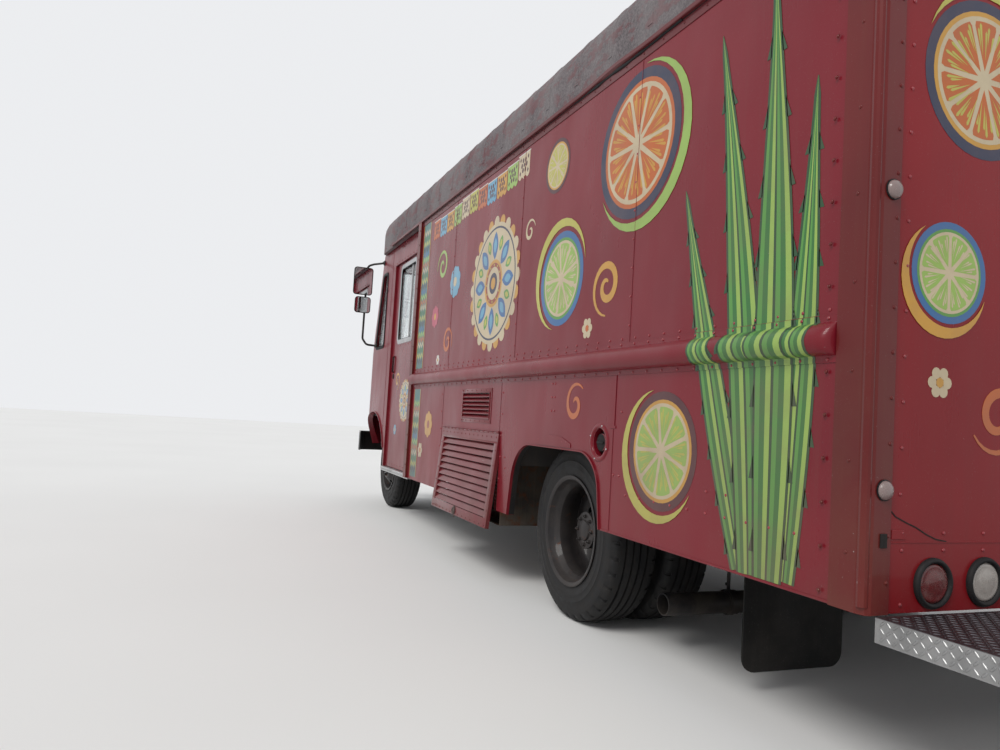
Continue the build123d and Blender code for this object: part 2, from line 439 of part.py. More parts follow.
# Outside mirrors: tube loop on two feet, tall glass over a small one
MIRROR_X = DOOR_FRONT + 640
with BuildPart() as mirrors:
    for s in (1, -1):
        top, foot, y = EAVE - 70, WINDOW_LOW + 30, CAB_SIDE
        line = [(MIRROR_X - 140, y, top), (MIRROR_X - 20, y + 105, top - 15), (MIRROR_X, y + 140, top - 70),
                (MIRROR_X, y + 145, foot + 60), (MIRROR_X, y + 105, foot + 10), (MIRROR_X, y, foot)]
        for a, b in zip(line, line[1:]):
            rod((a[0], s * a[1], a[2]), (b[0], s * b[1], b[2]), 11, sides=10)
        for x, z in ((MIRROR_X - 140, top), (MIRROR_X, foot)):
            rod((x, s * y, z), (x, s * (y + 8), z), 24, sides=12)
        for z0, z1, y0, y1 in ((top - 325, top - 46, 87, 280), (top - 505, top - 342, 95, 255)):
            bar(MIRROR_X - 30, MIRROR_X + 20, s * (y + y0), s * (y + y1), z0, z1)
    bar(MIRROR_X - 400, MIRROR_X + 200, -CAB_SIDE, CAB_SIDE, WINDOW_LOW - 100, EAVE, Mode.SUBTRACT)
keep(mirrors, "mirrors")

# Driver's chair on its pedestal
CHAIR_X, CHAIR_Y, CUSHION_Z = DOOR_REAR + 580, 660.0, 900.0
with BuildPart() as driver_chair:
    bar(CHAIR_X + 50, CHAIR_X + 320, STEP_IN - 180, STEP_IN - 20, FLOOR_TOP, CUSHION_Z)
    bar(CHAIR_X, CHAIR_X + 450, CHAIR_Y - 230, CHAIR_Y + 230, CUSHION_Z, CUSHION_Z + 90)
    side_sheet([(CHAIR_X, CUSHION_Z + 80), (CHAIR_X + 80, CUSHION_Z + 80), (CHAIR_X, CUSHION_Z + 660),
                (CHAIR_X - 80, CUSHION_Z + 660)], CHAIR_Y - 220, CHAIR_Y + 220)
keep(driver_chair, "driver_chair")

# Engine cover, dashboard, steering column and wheel
COVER_HALF, COVER_TOP = 380.0, 1250.0
DASH_X, COLUMN_X, WHEEL_Z = NOSE - 610, NOSE - 870, 1420.0
with BuildPart() as dashboard:
    bar(ENGINE_X0 - 210, NOSE - 220, -COVER_HALF, COVER_HALF, FLOOR_TOP, COVER_TOP)
    bar(ENGINE_X0 - 180, NOSE - 210, -COVER_HALF + 30, COVER_HALF - 30, FLOOR_TOP - 1, COVER_TOP - 30,
        Mode.SUBTRACT)
    side_sheet([(DASH_X, COVER_TOP - 50), (DASH_X + 140, COVER_TOP - 50), (DASH_X + 240, COVER_TOP + 40),
                (DASH_X + 180, COVER_TOP + 210), (DASH_X + 60, COVER_TOP + 230), (DASH_X, COVER_TOP + 130)],
               -CAB_SIDE + 75, CAB_SIDE - 75)
    bar(DASH_X + 40, DASH_X + 280, -COVER_HALF + 40, COVER_HALF - 40, COVER_TOP - 60, COVER_TOP - 29,
        Mode.SUBTRACT)
    rod((DASH_X + 40, CHAIR_Y, WHEEL_Z - 120), (COLUMN_X, CHAIR_Y, WHEEL_Z), 28, sides=12)
    with BuildSketch(Plane(origin=(COLUMN_X, CHAIR_Y, WHEEL_Z), z_dir=(-0.55, 0, 0.83))):
        RegularPolygon(225, 28)
        RegularPolygon(205, 28, mode=Mode.SUBTRACT)
        Rectangle(420, 24)
        RegularPolygon(45, 12)
    extrude(amount=20)
keep(dashboard, "dashboard")

# Cooking line with its hood on the left, prep counter under the serving window on the right
BENCH_TOP, HOOD_LOW, HOOD_TOP = 1570.0, 2120.0, 2400.0
BENCH_X0, BENCH_X1, BENCH_DEEP, LEG_X = REAR + 275, 380.0, 570.0, (-2990, -2500, -760, 330)
COUNTER_X0, COUNTER_X1, COUNTER_DEEP = -2300.0, 400.0, 510.0
with BuildPart() as kitchen_units:
    back = INNER - 5
    bar(BENCH_X0, BENCH_X1, back - BENCH_DEEP, back, HOUSE_TOP + 5, BENCH_TOP)
    for x in LEG_X:
        for y in (back - BENCH_DEEP + 10, back - 50):
            bar(x, x + 40, y, y + 40, FLOOR_TOP, HOUSE_TOP + 5)
    bar(BENCH_X0, BENCH_X1, back - 20, back, BENCH_TOP - 10, HOOD_LOW)
    bar(BENCH_X0 + 300, BENCH_X1 - 680, back - BENCH_DEEP, back, HOOD_LOW, HOOD_TOP)
    bar(BENCH_X0 + 315, BENCH_X1 - 695, back - BENCH_DEEP + 15, back - 15, HOOD_LOW - 10, HOOD_TOP - 15,
        Mode.SUBTRACT)
    bar(COUNTER_X0, COUNTER_X1, -back, -back + COUNTER_DEEP, SERVE_Z0 - 70, SERVE_Z0 - 30)
    bar(COUNTER_X0 + 10, COUNTER_X1 - 10, -back, -back + COUNTER_DEEP - 40, HOUSE_TOP + 5, SERVE_Z0 - 70)
    for x in (COUNTER_X0 + 20, COUNTER_X1 - 60):
        for y in (-back + 10, -back + COUNTER_DEEP - 80):
            bar(x, x + 40, y, y + 40, FLOOR_TOP, HOUSE_TOP + 5)
keep(kitchen_units, "kitchen_units")

# Generator in its own compartment under the floor
GB_X0, GB_X1, GB_Z0, GB_Z1 = GEN_X0 + 30, GEN_X1 - 30, 330.0, GEN_TOP + 22
with BuildPart() as generator:
    bar(GB_X0, GB_X1, GEN_IN, INNER, GB_Z0, GB_Z1)
    bar(GB_X0 + 4, GB_X1 - 4, GEN_IN + 4, INNER + 1, GB_Z0 + 4, GB_Z1 - 4, Mode.SUBTRACT)
    bar(GB_X0 + 130, GB_X1 - 130, GEN_IN + 100, GEN_IN + 560, GB_Z0 + 3, GB_Z0 + 50)
    bar(GB_X0 + 150, GB_X1 - 420, GEN_IN + 120, GEN_IN + 540, GB_Z0 + 50, GB_Z0 + 430)
    rod((GB_X1 - 420, GEN_IN + 330, GB_Z0 + 230), (GB_X1 - 150, GEN_IN + 330, GB_Z0 + 230), 170, sides=24)
    bar(GB_X0 + 330, GB_X1 - 200, GEN_IN + 140, GEN_IN + 520, GB_Z0 + 390, GB_Z0 + 470)
keep(generator, "generator")

# Small louvred vent over the generator door
with BuildPart() as side_vent:
    bar(VENT_X0, VENT_X1, SIDE, SIDE + 8, VENT_Z0, VENT_Z1)
    bar(VENT_X0 + 28, VENT_X1 - 28, SIDE - 1, SIDE + 9, VENT_Z0 + 28, VENT_Z1 - 28, Mode.SUBTRACT)
    for i in range(6):
        z = VENT_Z0 + 34 + i * 25
        cross_sheet([(SIDE - 20, z + 18), (SIDE - 20, z + 20), (SIDE + 6, z + 2), (SIDE + 6, z)],
                    VENT_X0 + 27, VENT_X1 - 27)
keep(side_vent, "side_vent")

# Mud flaps behind the rear wheels, under a bar on the floor
FLAP_X, FLAP_IN, FLAP_OUT, FLAP_LOW = REAR + 780, RAIL_OUT + 10, SIDE - 275, 80.0
with BuildPart() as mud_flaps:
    for s in (1, -1):
        cross_sheet([(s * FLAP_IN, FLOOR_LOW), (s * FLAP_OUT, FLOOR_LOW), (s * FLAP_OUT, FLAP_LOW + 50),
                     (s * (FLAP_OUT - 40), FLAP_LOW), (s * (FLAP_IN + 40), FLAP_LOW),
                     (s * FLAP_IN, FLAP_LOW + 50)], FLAP_X, FLAP_X + 8)
        bar(FLAP_X - 10, FLAP_X, s * FLAP_IN, s * FLAP_OUT, FLOOR_LOW - 44, FLOOR_LOW)
keep(mud_flaps, "mud_flaps")

# Round tail lamps in the lamp panel, marker domes on the posts, headlamps on the nose
TAIL_Y, TAIL_Z, TAIL_R, MARKER_Z, MARKER_R = (SIDE - 237, SIDE - 430), 569.0, 67.0, (1590, 810), 25.0
HEAD_Y, HEAD_Z, HEAD_R = 600.0, 800.0, 90.0
with BuildPart() as lamps:
    for s in (1, -1):
        for y in TAIL_Y:
            rod((REAR - 14, s * y, TAIL_Z), (REAR, s * y, TAIL_Z), TAIL_R, sides=20)
        for z in MARKER_Z:
            y = SIDE - 45
            rod((REAR - 24, s * y, z), (REAR - 14, s * y, z), MARKER_R, sides=16)
            rod((REAR - 32, s * y, z), (REAR - 24, s * y, z), MARKER_R - 10, sides=16)
        rod((NOSE, s * HEAD_Y, HEAD_Z), (NOSE + 20, s * HEAD_Y, HEAD_Z), HEAD_R, sides=24)
keep(lamps, "lamps")

# Exhaust fan over the cooking line
FAN_X, FAN_Y, FAN_HALF, FAN_TOP = -1450.0, 560.0, 250.0, EAVE + ROOF_RISE + 150
with BuildPart() as roof_fan:
    bar(FAN_X - FAN_HALF, FAN_X + FAN_HALF, FAN_Y - FAN_HALF, FAN_Y + FAN_HALF, EAVE + ROOF_RISE - 34, FAN_TOP - 90)
    with BuildSketch(Plane.XY.offset(FAN_TOP - 90)):
        with Locations((FAN_X, FAN_Y)):
            RegularPolygon(FAN_HALF + 30, 24)
    extrude(amount=90, taper=12)
    add(roof.part, mode=Mode.SUBTRACT)
keep(roof_fan, "roof_fan")

# Wheels: straight-sided tyres round dished rims, the rear ones bolted back to back
HALF_W = TYRE_W / 2
TYRE_PROFILE = ((-HALF_W, TYRE_BORE), (-HALF_W, 330), (14 - HALF_W, 392), (45 - HALF_W, TYRE_R),
                (HALF_W - 45, TYRE_R), (HALF_W - 14, 392), (HALF_W, 330), (HALF_W, TYRE_BORE))
SEAT_R, FLANGE_R, FLANGE_OUT, BARREL_IN = TYRE_BORE - TOUCH, TYRE_BORE + 10, HALF_W + 4, TYRE_BORE - 12
BEAD, DISC_BORE, DISC_SHEET = HALF_W + TOUCH, 60.0, 12.0
RIM_PROFILE = ((-FLANGE_OUT, FLANGE_R), (-BEAD, FLANGE_R), (-BEAD, SEAT_R), (BEAD, SEAT_R), (BEAD, FLANGE_R),
               (FLANGE_OUT, FLANGE_R), (FLANGE_OUT, BARREL_IN), (72, BARREL_IN), (126, 152), (DUAL_HALF, 140),
               (DUAL_HALF, DISC_BORE), (DUAL_HALF - DISC_SHEET, DISC_BORE), (DUAL_HALF - DISC_SHEET, 137),
               (114, 149), (50, BARREL_IN), (-FLANGE_OUT, BARREL_IN))


def tyre_at(x, y):
    turned(x, TYRE_R, [(y + a, r) for a, r in TYRE_PROFILE])


def rim_at(x, y, face):
    # barrel, flanges and a dish, whose bolting face looks towards the given side
    turned(x, TYRE_R, [(y + face * a, r) for a, r in RIM_PROFILE])


def make_wheels(side, s):
    with BuildPart() as tyres:
        for half in (-DUAL_HALF, DUAL_HALF):
            tyre_at(REAR_AXLE, s * DUAL_MID + half)
    keep(tyres, f"rear_tyres_{side}")
    x, z = REAR_AXLE, TYRE_R
    with BuildPart() as rims:
        rim_at(x, s * (DUAL_MID + DUAL_HALF), -s)
        rim_at(x, s * (DUAL_MID - DUAL_HALF), s)
        rod((x, s * HUB_INNER, z), (x, s * (DUAL_MID - 6), z), 185, sides=24)
        rod((x, s * (HUB_INNER - 1), z), (x, s * (DUAL_MID - 27), z), 172, Mode.SUBTRACT, sides=24)
        rod((x, s * (DUAL_MID - 40), z), (x, s * HUB_OUTER, z), 96, sides=24)
        rod((x, s * HUB_OUTER, z), (x, s * (HUB_OUTER + 15), z), 82, sides=16)
        rod((x, s * (HUB_INNER - 1), z), (x, s * (HUB_OUTER - 4), z), SPINDLE_R + RUN, Mode.SUBTRACT)
    keep(rims, f"rear_rims_{side}")
    x, y = FRONT_AXLE, FRONT_WHEEL_Y
    with BuildPart() as tyre:
        tyre_at(x, s * y)
    keep(tyre, f"front_tyre_{side}")
    with BuildPart() as rim:
        rim_at(x, s * y, s)
        rod((x, s * (y - 95), z), (x, s * (y + 155), z), 70, sides=24)
        rod((x, s * (y - 96), z), (x, s * (y + 135), z), STUB_R + RUN, Mode.SUBTRACT)
    keep(rim, f"front_rim_{side}")
    # knuckle: two ears on the king pin, a plate and the stub axle
    ear = KINGPIN_Y + 62
    with BuildPart() as knuckle:
        rod((x, s * KINGPIN_Y, z - 85), (x, s * KINGPIN_Y, z + 90), KINGPIN_R)
        for low in (z - 85, z + 55):
            rod((x, s * KINGPIN_Y, low), (x, s * KINGPIN_Y, low + 30), 40, sides=12)
            bar(x - 36, x + 36, s * KINGPIN_Y, s * ear, low, low + 30)
        bar(x - 36, x + 36, s * (ear - 14), s * (ear + 6), z - 85, z + 85)
        rod((x, s * (ear - 10), z), (x, s * (y + 130), z), STUB_R)
    keep(knuckle, f"knuckle_{side}")


# Sliding cab doors: a panel with its window cut, a handle, and the pane in a node of its own
DOOR_WIN = (DOOR_REAR + 305, DOOR_REAR + 825, WINDOW_LOW + 10, WINDOW_HIGH - 20)


def make_door(side, s):
    x0, x1, z0, z1 = DOOR_WIN
    mid = DOOR_Y - DOOR_THICK / 2
    grip = DOOR_FRONT - 95
    with BuildPart() as door:
        bar(DOOR_REAR, DOOR_FRONT, s * (DOOR_Y - DOOR_THICK), s * DOOR_Y, STEP_Z + 2, DOOR_TOP - 8)
        bar(x0, x1, s * (DOOR_Y - DOOR_THICK - 5), s * (DOOR_Y + 5), z0, z1, Mode.SUBTRACT)
        rod((grip, s * (DOOR_Y + 10), 1290), (grip, s * (DOOR_Y + 10), 1450), 7, sides=8)
        for z in (1300, 1440):
            rod((grip, s * (DOOR_Y - 1), z), (grip, s * (DOOR_Y + 10), z), 5, sides=8)
        bar(DOOR_FRONT - 170, DOOR_FRONT - 30, s * (DOOR_Y - 20), s * (DOOR_Y - 10), SILL_TOP + TOUCH, STEP_Z + 5)
    keep(door, f"cab_door_{side}")
    with BuildPart() as pane:
        bar(x0 + TOUCH, x1 - TOUCH, s * (mid - 3), s * (mid + 3), z0 + TOUCH, z1 - TOUCH)
    keep(pane, f"cab_door_glass_{side}")


for side, s in (("left", 1), ("right", -1)):
    make_wheels(side, s)
    make_door(side, s)

# Rear door: panel with a pressed field, three hinge barrels and a pull handle
with BuildPart() as rear_door:
    y0, y1 = -BACK_Y + CLEAR, BACK_Y - CLEAR
    bar(REAR, REAR + WALL, y0, y1, BACK_Z0 + CLEAR, BACK_Z1 - CLEAR)
    bar(REAR - 1, REAR + 5, y0 + 55, y1 - 55, 850, 1500, Mode.SUBTRACT)
    for z in HINGE_Z:
        rod((BACK_PIN_X, BACK_PIN_Y, z), (BACK_PIN_X, BACK_PIN_Y, z + HINGE_H), BACK_BARREL)
        bar(REAR - 6, REAR + 3, y1 - 40, y1, z, z + HINGE_H)
        bar(REAR - 6, REAR - 1, y1 - 1, BACK_PIN_Y - 3, z, z + HINGE_H)
    rod((REAR - 45, y0 + 55, 1250), (REAR - 45, y0 + 55, 1450), 9, sides=10)
    for z in (1260, 1440):
        rod((REAR - 45, y0 + 55, z), (REAR + 2, y0 + 55, z), 6, sides=10)
keep(rear_door, "rear_door")

# Generator door: frame, folded slats and hinge barrel, hung open a little under its ledge
SLATS, SLAT_PITCH, FRAME_W = 10, 42.0, 55.0
tilt = Plane(origin=(0, GEN_HINGE_Y, GEN_HINGE_Z), x_dir=(1, 0, 0),
             z_dir=Vector(0, 1, 0).rotate(Axis.X, GEN_TILT))


def gen_sheet(x0, x1, v0, v1, w0, w1, mode=Mode.ADD):
    # x along the truck, v down from the hinge line, w outward from the door's face
    with BuildSketch(tilt.offset(w0)) as sheet:
        Polygon((x0, v0), (x1, v0), (x1, v1), (x0, v1), align=None)
    extrude(sheet.sketch, amount=w1 - w0, mode=mode)


down = -1 if tilt.y_dir.Z > 0 else 1
with BuildPart() as generator_door:
    gen_sheet(GEN_X0, GEN_X1, down * 6, down * GEN_H, -24, 0)
    gen_sheet(GEN_X0 + FRAME_W, GEN_X1 - FRAME_W, down * 60, down * (GEN_H - FRAME_W), -25, 1, Mode.SUBTRACT)
    rod((GEN_X0, GEN_HINGE_Y, GEN_HINGE_Z), (GEN_X1, GEN_HINGE_Y, GEN_HINGE_Z), BARREL_R)
    gen_sheet(GEN_X0, GEN_X1, 0, down * 8, -6, 0)
    for i in range(SLATS):
        v = 66 + i * SLAT_PITCH
        gen_sheet(GEN_X0 + FRAME_W - 5, GEN_X1 - FRAME_W + 5, down * v, down * (v + 6), -20, -2)
        gen_sheet(GEN_X0 + FRAME_W - 5, GEN_X1 - FRAME_W + 5, down * v, down * (v + 26), -5, -2)
keep(generator_door, "generator_door")

# Serving hatch hinged on its outer top edge, a framed panel hollow towards the wall
with BuildPart() as serving_hatch:
    inner, outer = -SIDE - CLEAR, -SIDE - CLEAR - HATCH_THICK
    bar(SERVE_X0 - 25, SERVE_X1 + 25, inner, outer, SERVE_Z0 - 25, HATCH_PIN_Z - 6)
    bar(SERVE_X0 + 20, SERVE_X1 - 20, inner + 1, outer + 5, SERVE_Z0 + 20, SERVE_Z1 - 20, Mode.SUBTRACT)
    rod((SERVE_X0 - 25, HATCH_PIN_Y, HATCH_PIN_Z), (SERVE_X1 + 25, HATCH_PIN_Y, HATCH_PIN_Z), HATCH_BARREL)
keep(serving_hatch, "serving_hatch")
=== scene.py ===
import bpy
import bmesh
import random
from math import copysign, cos, exp, pi, radians, sin, sqrt, tan
from mathutils import Matrix, Vector
from mathutils.bvhtree import BVHTree


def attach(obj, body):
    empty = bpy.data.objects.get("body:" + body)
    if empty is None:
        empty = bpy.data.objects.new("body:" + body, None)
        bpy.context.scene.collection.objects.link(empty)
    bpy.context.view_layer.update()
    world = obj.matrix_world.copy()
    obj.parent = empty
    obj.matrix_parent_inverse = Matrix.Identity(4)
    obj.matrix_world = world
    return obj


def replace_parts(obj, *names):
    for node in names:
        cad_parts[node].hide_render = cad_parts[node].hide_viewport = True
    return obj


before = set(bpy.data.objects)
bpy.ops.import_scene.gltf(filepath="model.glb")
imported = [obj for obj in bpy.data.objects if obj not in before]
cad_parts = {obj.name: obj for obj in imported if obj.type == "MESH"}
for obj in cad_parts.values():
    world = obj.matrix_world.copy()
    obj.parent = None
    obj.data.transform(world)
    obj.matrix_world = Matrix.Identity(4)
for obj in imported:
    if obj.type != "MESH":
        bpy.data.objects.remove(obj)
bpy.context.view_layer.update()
random.seed(7)

# ---- Backdrop, light and camera
# A plain pale floor and an even pale surround, with one soft sun from behind on the driver's side.
# The camera stands low at the rear left corner, as in the photograph, with the same lens and roll.
def put(name, data):
    made = bpy.data.objects.new(name, data)
    bpy.context.collection.objects.link(made)
    return made


def node(tree, kind, settings=None, **inputs):
    # a node with its settings, its inputs given as values or as sockets to link from
    made = tree.nodes.new(kind if "Node" in kind else "ShaderNode" + kind)
    for key, value in (settings or {}).items():
        setattr(made, key, value)
    for key, value in inputs.items():
        socket = made.inputs[int(key[1:]) if key[1:].isdigit() else key.replace("_", " ")]
        if isinstance(value, bpy.types.NodeSocket):
            tree.links.new(value, socket)
        else:
            socket.default_value = value
    return made


def principled(name, base, rough=0.5, metal=0.0, **more):
    mat = bpy.data.materials.new(name)
    mat.use_nodes = True
    shader = mat.node_tree.nodes["Principled BSDF"]
    for key, value in {"Base_Color": (*base, 1.0), "Roughness": rough, "Metallic": metal, **more}.items():
        shader.inputs[key.replace("_", " ")].default_value = value
    return mat, mat.node_tree, shader


def wire(tree, shader, **sockets):
    for key, value in sockets.items():
        tree.links.new(value, shader.inputs[key.replace("_", " ")])


def in_metres(tree):
    return node(tree, "TexCoord").outputs["Object"]


def noise(tree, scale, detail=4.0, stretch=(1, 1, 1), rough=0.55):
    # noise in the truck's own metres
    place = in_metres(tree)
    if stretch != (1, 1, 1):
        place = node(tree, "Mapping", Vector=place, Scale=stretch).outputs["Vector"]
    return node(tree, "TexNoise", Vector=place, Scale=scale, Detail=detail, Roughness=rough).outputs["Fac"]


def ranged(tree, value, low, high, out_low=0.0, out_high=1.0):
    return node(tree, "MapRange", i0=value, i1=low, i2=high, i3=out_low, i4=out_high).outputs["Result"]


def cloudy(tree, scale, detail, low, high, out_low=0.0, out_high=1.0, **more):
    return ranged(tree, noise(tree, scale, detail, **more), low, high, out_low, out_high)


def times(tree, a, b, how="MULTIPLY"):
    return node(tree, "Math", {"operation": how, "use_clamp": how == "ADD"}, i0=a, i1=b).outputs["Value"]


def tint(tree, fac, a, b):
    # colour a where fac is 0, colour b where it is 1
    a, b = (c if isinstance(c, bpy.types.NodeSocket) else (*c, 1.0) for c in (a, b))
    return node(tree, "Mix", {"data_type": "RGBA"}, i0=fac, i6=a, i7=b).outputs[2]


floor_mesh = bpy.data.meshes.new("studio_floor")
floor_mesh.from_pydata([(-40, -40, 0), (40, -40, 0), (40, 40, 0), (-40, 40, 0)], [], [(0, 1, 2, 3)])
put("studio_floor", floor_mesh)
floor_mat, tree, shader = principled("studio_floor", (0.8, 0.8, 0.79), 0.85)
wire(tree, shader,
     Base_Color=tint(tree, cloudy(tree, 0.4, 2, 0.35, 0.65), (0.79, 0.79, 0.78), (0.81, 0.81, 0.8)))
floor_mesh.materials.append(floor_mat)

world = bpy.data.worlds.new("surround")
bpy.context.scene.world = world
world.use_nodes = True
tree = world.node_tree
rays = node(tree, "LightPath").outputs
seen = times(tree, times(tree, rays["Is Camera Ray"], rays["Is Glossy Ray"], "MAXIMUM"),
             rays["Is Transmission Ray"], "MAXIMUM")
background = tree.nodes["Background"]
wire(tree, background, Color=tint(tree, seen, (0.6, 0.61, 0.63), (0.84, 0.85, 0.87)))
background.inputs["Strength"].default_value = 1.0

sun = bpy.data.lights.new("sun", "SUN")
sun.energy, sun.angle, sun.color = 1.7, radians(25), (1.0, 0.98, 0.95)
put("sun", sun).rotation_euler = Vector((-0.45, 0.75, 0.85)).to_track_quat("Z", "Y").to_euler()
bpy.context.scene.view_settings.view_transform = "Standard"

LENS_MM, YAW, PITCH, ROLL = 27.8, radians(21.26), radians(3.22), radians(3.43)
aim = Vector((cos(PITCH) * cos(YAW), -cos(PITCH) * sin(YAW), sin(PITCH)))
level = aim.cross(Vector((0, 0, 1))).normalized()
upright = level.cross(aim)
across = cos(ROLL) * level + sin(ROLL) * upright
upward = -sin(ROLL) * level + cos(ROLL) * upright
camera = bpy.data.cameras.new("camera")
camera.lens, camera.sensor_width, camera.clip_end = LENS_MM, 36.0, 200
camera_object = put("camera", camera)
camera_object.matrix_world = (Matrix.Translation((-4.771, 2.775, 0.934))
                              @ Matrix((across, upward, -aim)).transposed().to_4x4())
bpy.context.scene.camera = camera_object


# ---- Ladder frame, axle iron, driveline, tank
# Pressed steel rails and cross members riveted together, painted black, dusty and rusting at the edges.
# The CAD shapes stay; they get their paint, and bolts, spring clips and spring leaves are added.
def bumped(tree, shader, *layers):
    # each layer is (height socket, strength, distance in metres)
    normal = {}
    for height, strength, distance in layers:
        made = node(tree, "Bump", Strength=strength, Distance=distance, Height=height, **normal)
        normal = {"Normal": made.outputs["Normal"]}
    wire(tree, shader, **normal)


def height_of(tree):
    return node(tree, "SeparateXYZ", Vector=in_metres(tree)).outputs["Z"]


def painted(name, base, rough=0.4, grime=(0.16, 0.13, 0.1), grime_top=0.9, grime_amount=0.5, coat=0.0,
            rust=0.0, ripple=0.0, grain=0.00015, metal=0.0, fade=0.12, chips=0.0):
    # paint with broad fading, dirt that rises from the ground, streaks, chips or rust, and a fine texture
    mat, tree, shader = principled(name, base, rough, metal, Coat_Weight=coat, Coat_Roughness=0.08,
                                   Specular_IOR_Level=0.2)
    light = tuple(min(1.0, c * (1 + fade) + fade * 0.01) for c in base)
    colour = tint(tree, cloudy(tree, 1.3, 3, 0.3, 0.7), tuple(c * (1 - fade) for c in base), light)
    streaks = cloudy(tree, 1.0, 5, 0.52, 0.75, stretch=(38, 38, 1.6))
    low = ranged(tree, height_of(tree), grime_top, 0.15)
    dirt = times(tree, times(tree, cloudy(tree, 7, 6, 0.35, 0.7), low), grime_amount)
    dirt = times(tree, dirt, times(tree, streaks, 0.28 * grime_amount), "ADD")
    colour = tint(tree, dirt, colour, grime)
    speck = times(tree, cloudy(tree, 260, 2, 0.68, 0.74), 0.25)
    colour = tint(tree, speck, colour, tuple(0.5 * (g + 0.35) for g in grime))
    if rust:
        patches = cloudy(tree, 19, 8, 0.62 - 0.14 * rust, 0.72 - 0.1 * rust, rough=0.7)
        colour = tint(tree, times(tree, patches, 0.85), colour, (0.13, 0.048, 0.022))
        dirt = times(tree, dirt, patches, "MAXIMUM")
    if chips:
        spots = cloudy(tree, 46, 6, 0.735 - 0.05 * chips, 0.745 - 0.05 * chips, rough=0.75)
        colour = tint(tree, spots, colour, (0.34, 0.3, 0.29))
    smear = cloudy(tree, 3.1, 5, 0.3, 0.75, rough * 0.75, min(0.95, rough * 1.4 + 0.05), stretch=(1, 1, 0.4))
    wire(tree, shader, Base_Color=colour, Roughness=times(tree, smear, times(tree, dirt, 0.5), "ADD"))
    layers = [(noise(tree, 420, 3), 0.25, grain), (times(tree, dirt, 1.0), 0.3, 0.0004)]
    if ripple:
        layers.append((noise(tree, 2.6, 1.5, (1, 1, 0.7)), 1.0, ripple))
    bumped(tree, shader, *layers)
    return mat


def dress(mat, *names):
    # give CAD nodes their finished material
    for name in names:
        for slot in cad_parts[name].material_slots:
            slot.link = "OBJECT"
            slot.material = mat


def on_body(made, body):
    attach(made, body)
    return made


def finish_piece(bm, name, mat, angle=40, body="truck", merge=0.0):
    # turn a bmesh into an object that rides on a body, smooth but for edges sharper than the angle
    if merge:
        bmesh.ops.remove_doubles(bm, verts=bm.verts, dist=merge)
    bmesh.ops.recalc_face_normals(bm, faces=bm.faces)
    for face in bm.faces:
        face.smooth = angle > 0
    for edge in bm.edges:
        if len(edge.link_faces) == 2 and edge.calc_face_angle(0.0) > radians(angle):
            edge.smooth = False
    mesh = bpy.data.meshes.new(name)
    bm.to_mesh(mesh)
    bm.free()
    mesh.materials.append(mat)
    return on_body(put(name, mesh), body)


def box(bm, x0, x1, y0, y1, z0, z1, bevel, segments=2):
    # a box with rounded edges
    size = Vector((abs(x1 - x0), abs(y1 - y0), abs(z1 - z0)))
    made = bmesh.ops.create_cube(bm, size=1.0)["verts"]
    bmesh.ops.scale(bm, vec=size, verts=made)
    if bevel:
        result = bmesh.ops.bevel(bm, geom=list({e for v in made for e in v.link_edges}), segments=segments,
                                 offset=min(bevel, min(size) * 0.49), profile=0.5, affect="EDGES")
        made = list({v for f in result["faces"] for v in f.verts} | {v for v in made if v.is_valid})
    bmesh.ops.translate(bm, vec=((x0 + x1) / 2, (y0 + y1) / 2, (z0 + z1) / 2), verts=made)


def around(count, start=0.0):
    return [start + 2 * pi * i / count for i in range(count)]


def loft(bm, rings, closed=True, ends=True, loop=False):
    # skin rings of points in turn; a ring of one point is a pole
    rings = [[bm.verts.new(p) for p in ring] for ring in rings]
    n = max(len(ring) for ring in rings)
    for a, b in zip(rings, rings[1:] + rings[:1] if loop else rings[1:]):
        for k in range(n if closed else n - 1):
            j = (k + 1) % n
            corners = [a[k % len(a)], a[j % len(a)], b[j % len(b)], b[k % len(b)]]
            corners = [v for i, v in enumerate(corners) if v not in corners[:i]]
            if len(corners) > 2:
                bm.faces.new(corners)
    for ring in (rings[0], rings[-1]) if ends else ():
        if len(ring) > 2:
            bm.faces.new(ring)
    return rings


def lathe(bm, start, direction, profile, sides=32, close=True):
    # profile rows are (distance along the axis, radius), from one end to the other
    z = Vector(direction).normalized()
    x = z.orthogonal().normalized() if abs(z.z) > 0.95 else Vector((0, 0, 1)).cross(z).normalized()
    turn = Matrix((x, z.cross(x), z)).transposed()
    loft(bm, [[Vector(start) + turn @ Vector((radius * cos(t), radius * sin(t), along))
               for t in around(sides if radius > 1e-6 else 1)] for along, radius in profile], ends=close)


def sweep(bm, points, section, closed=False, up=(0, 0, 1)):
    # carry a section of (across, up) points along a path
    path = [Vector(p) for p in points]
    rings = []
    for i, p in enumerate(path):
        before = path[i - 1] if i or closed else None
        after = path[(i + 1) % len(path)] if i < len(path) - 1 or closed else None
        a = (p - before).normalized() if before else (after - p).normalized()
        b = (after - p).normalized() if after else a
        along = (a + b).normalized()
        sideways = along.cross(Vector(up))
        if sideways.length < 1e-4:
            sideways = along.cross(Vector((1, 0, 0)))
        sideways.normalize()
        stretch = 1 / max(0.5, sqrt(max(0.0, (1 + a.dot(b)) / 2)))
        rings.append([p + sideways * u * stretch + sideways.cross(along) * v for u, v in section])
    return loft(bm, rings, ends=not closed, loop=closed)


def bar(half, low, high=None, top=None):
    # the section of a flat bar, whose upper side may differ in height and width
    high, top = low if high is None else high, top or half
    return [(-half, -low), (half, -low), (top, high), (-top, high)]


def evaluated(source):
    # the mesh that an object's modifiers give
    graph = bpy.context.evaluated_depsgraph_get()
    graph.update()
    return bpy.data.meshes.new_from_object(source.evaluated_get(graph))


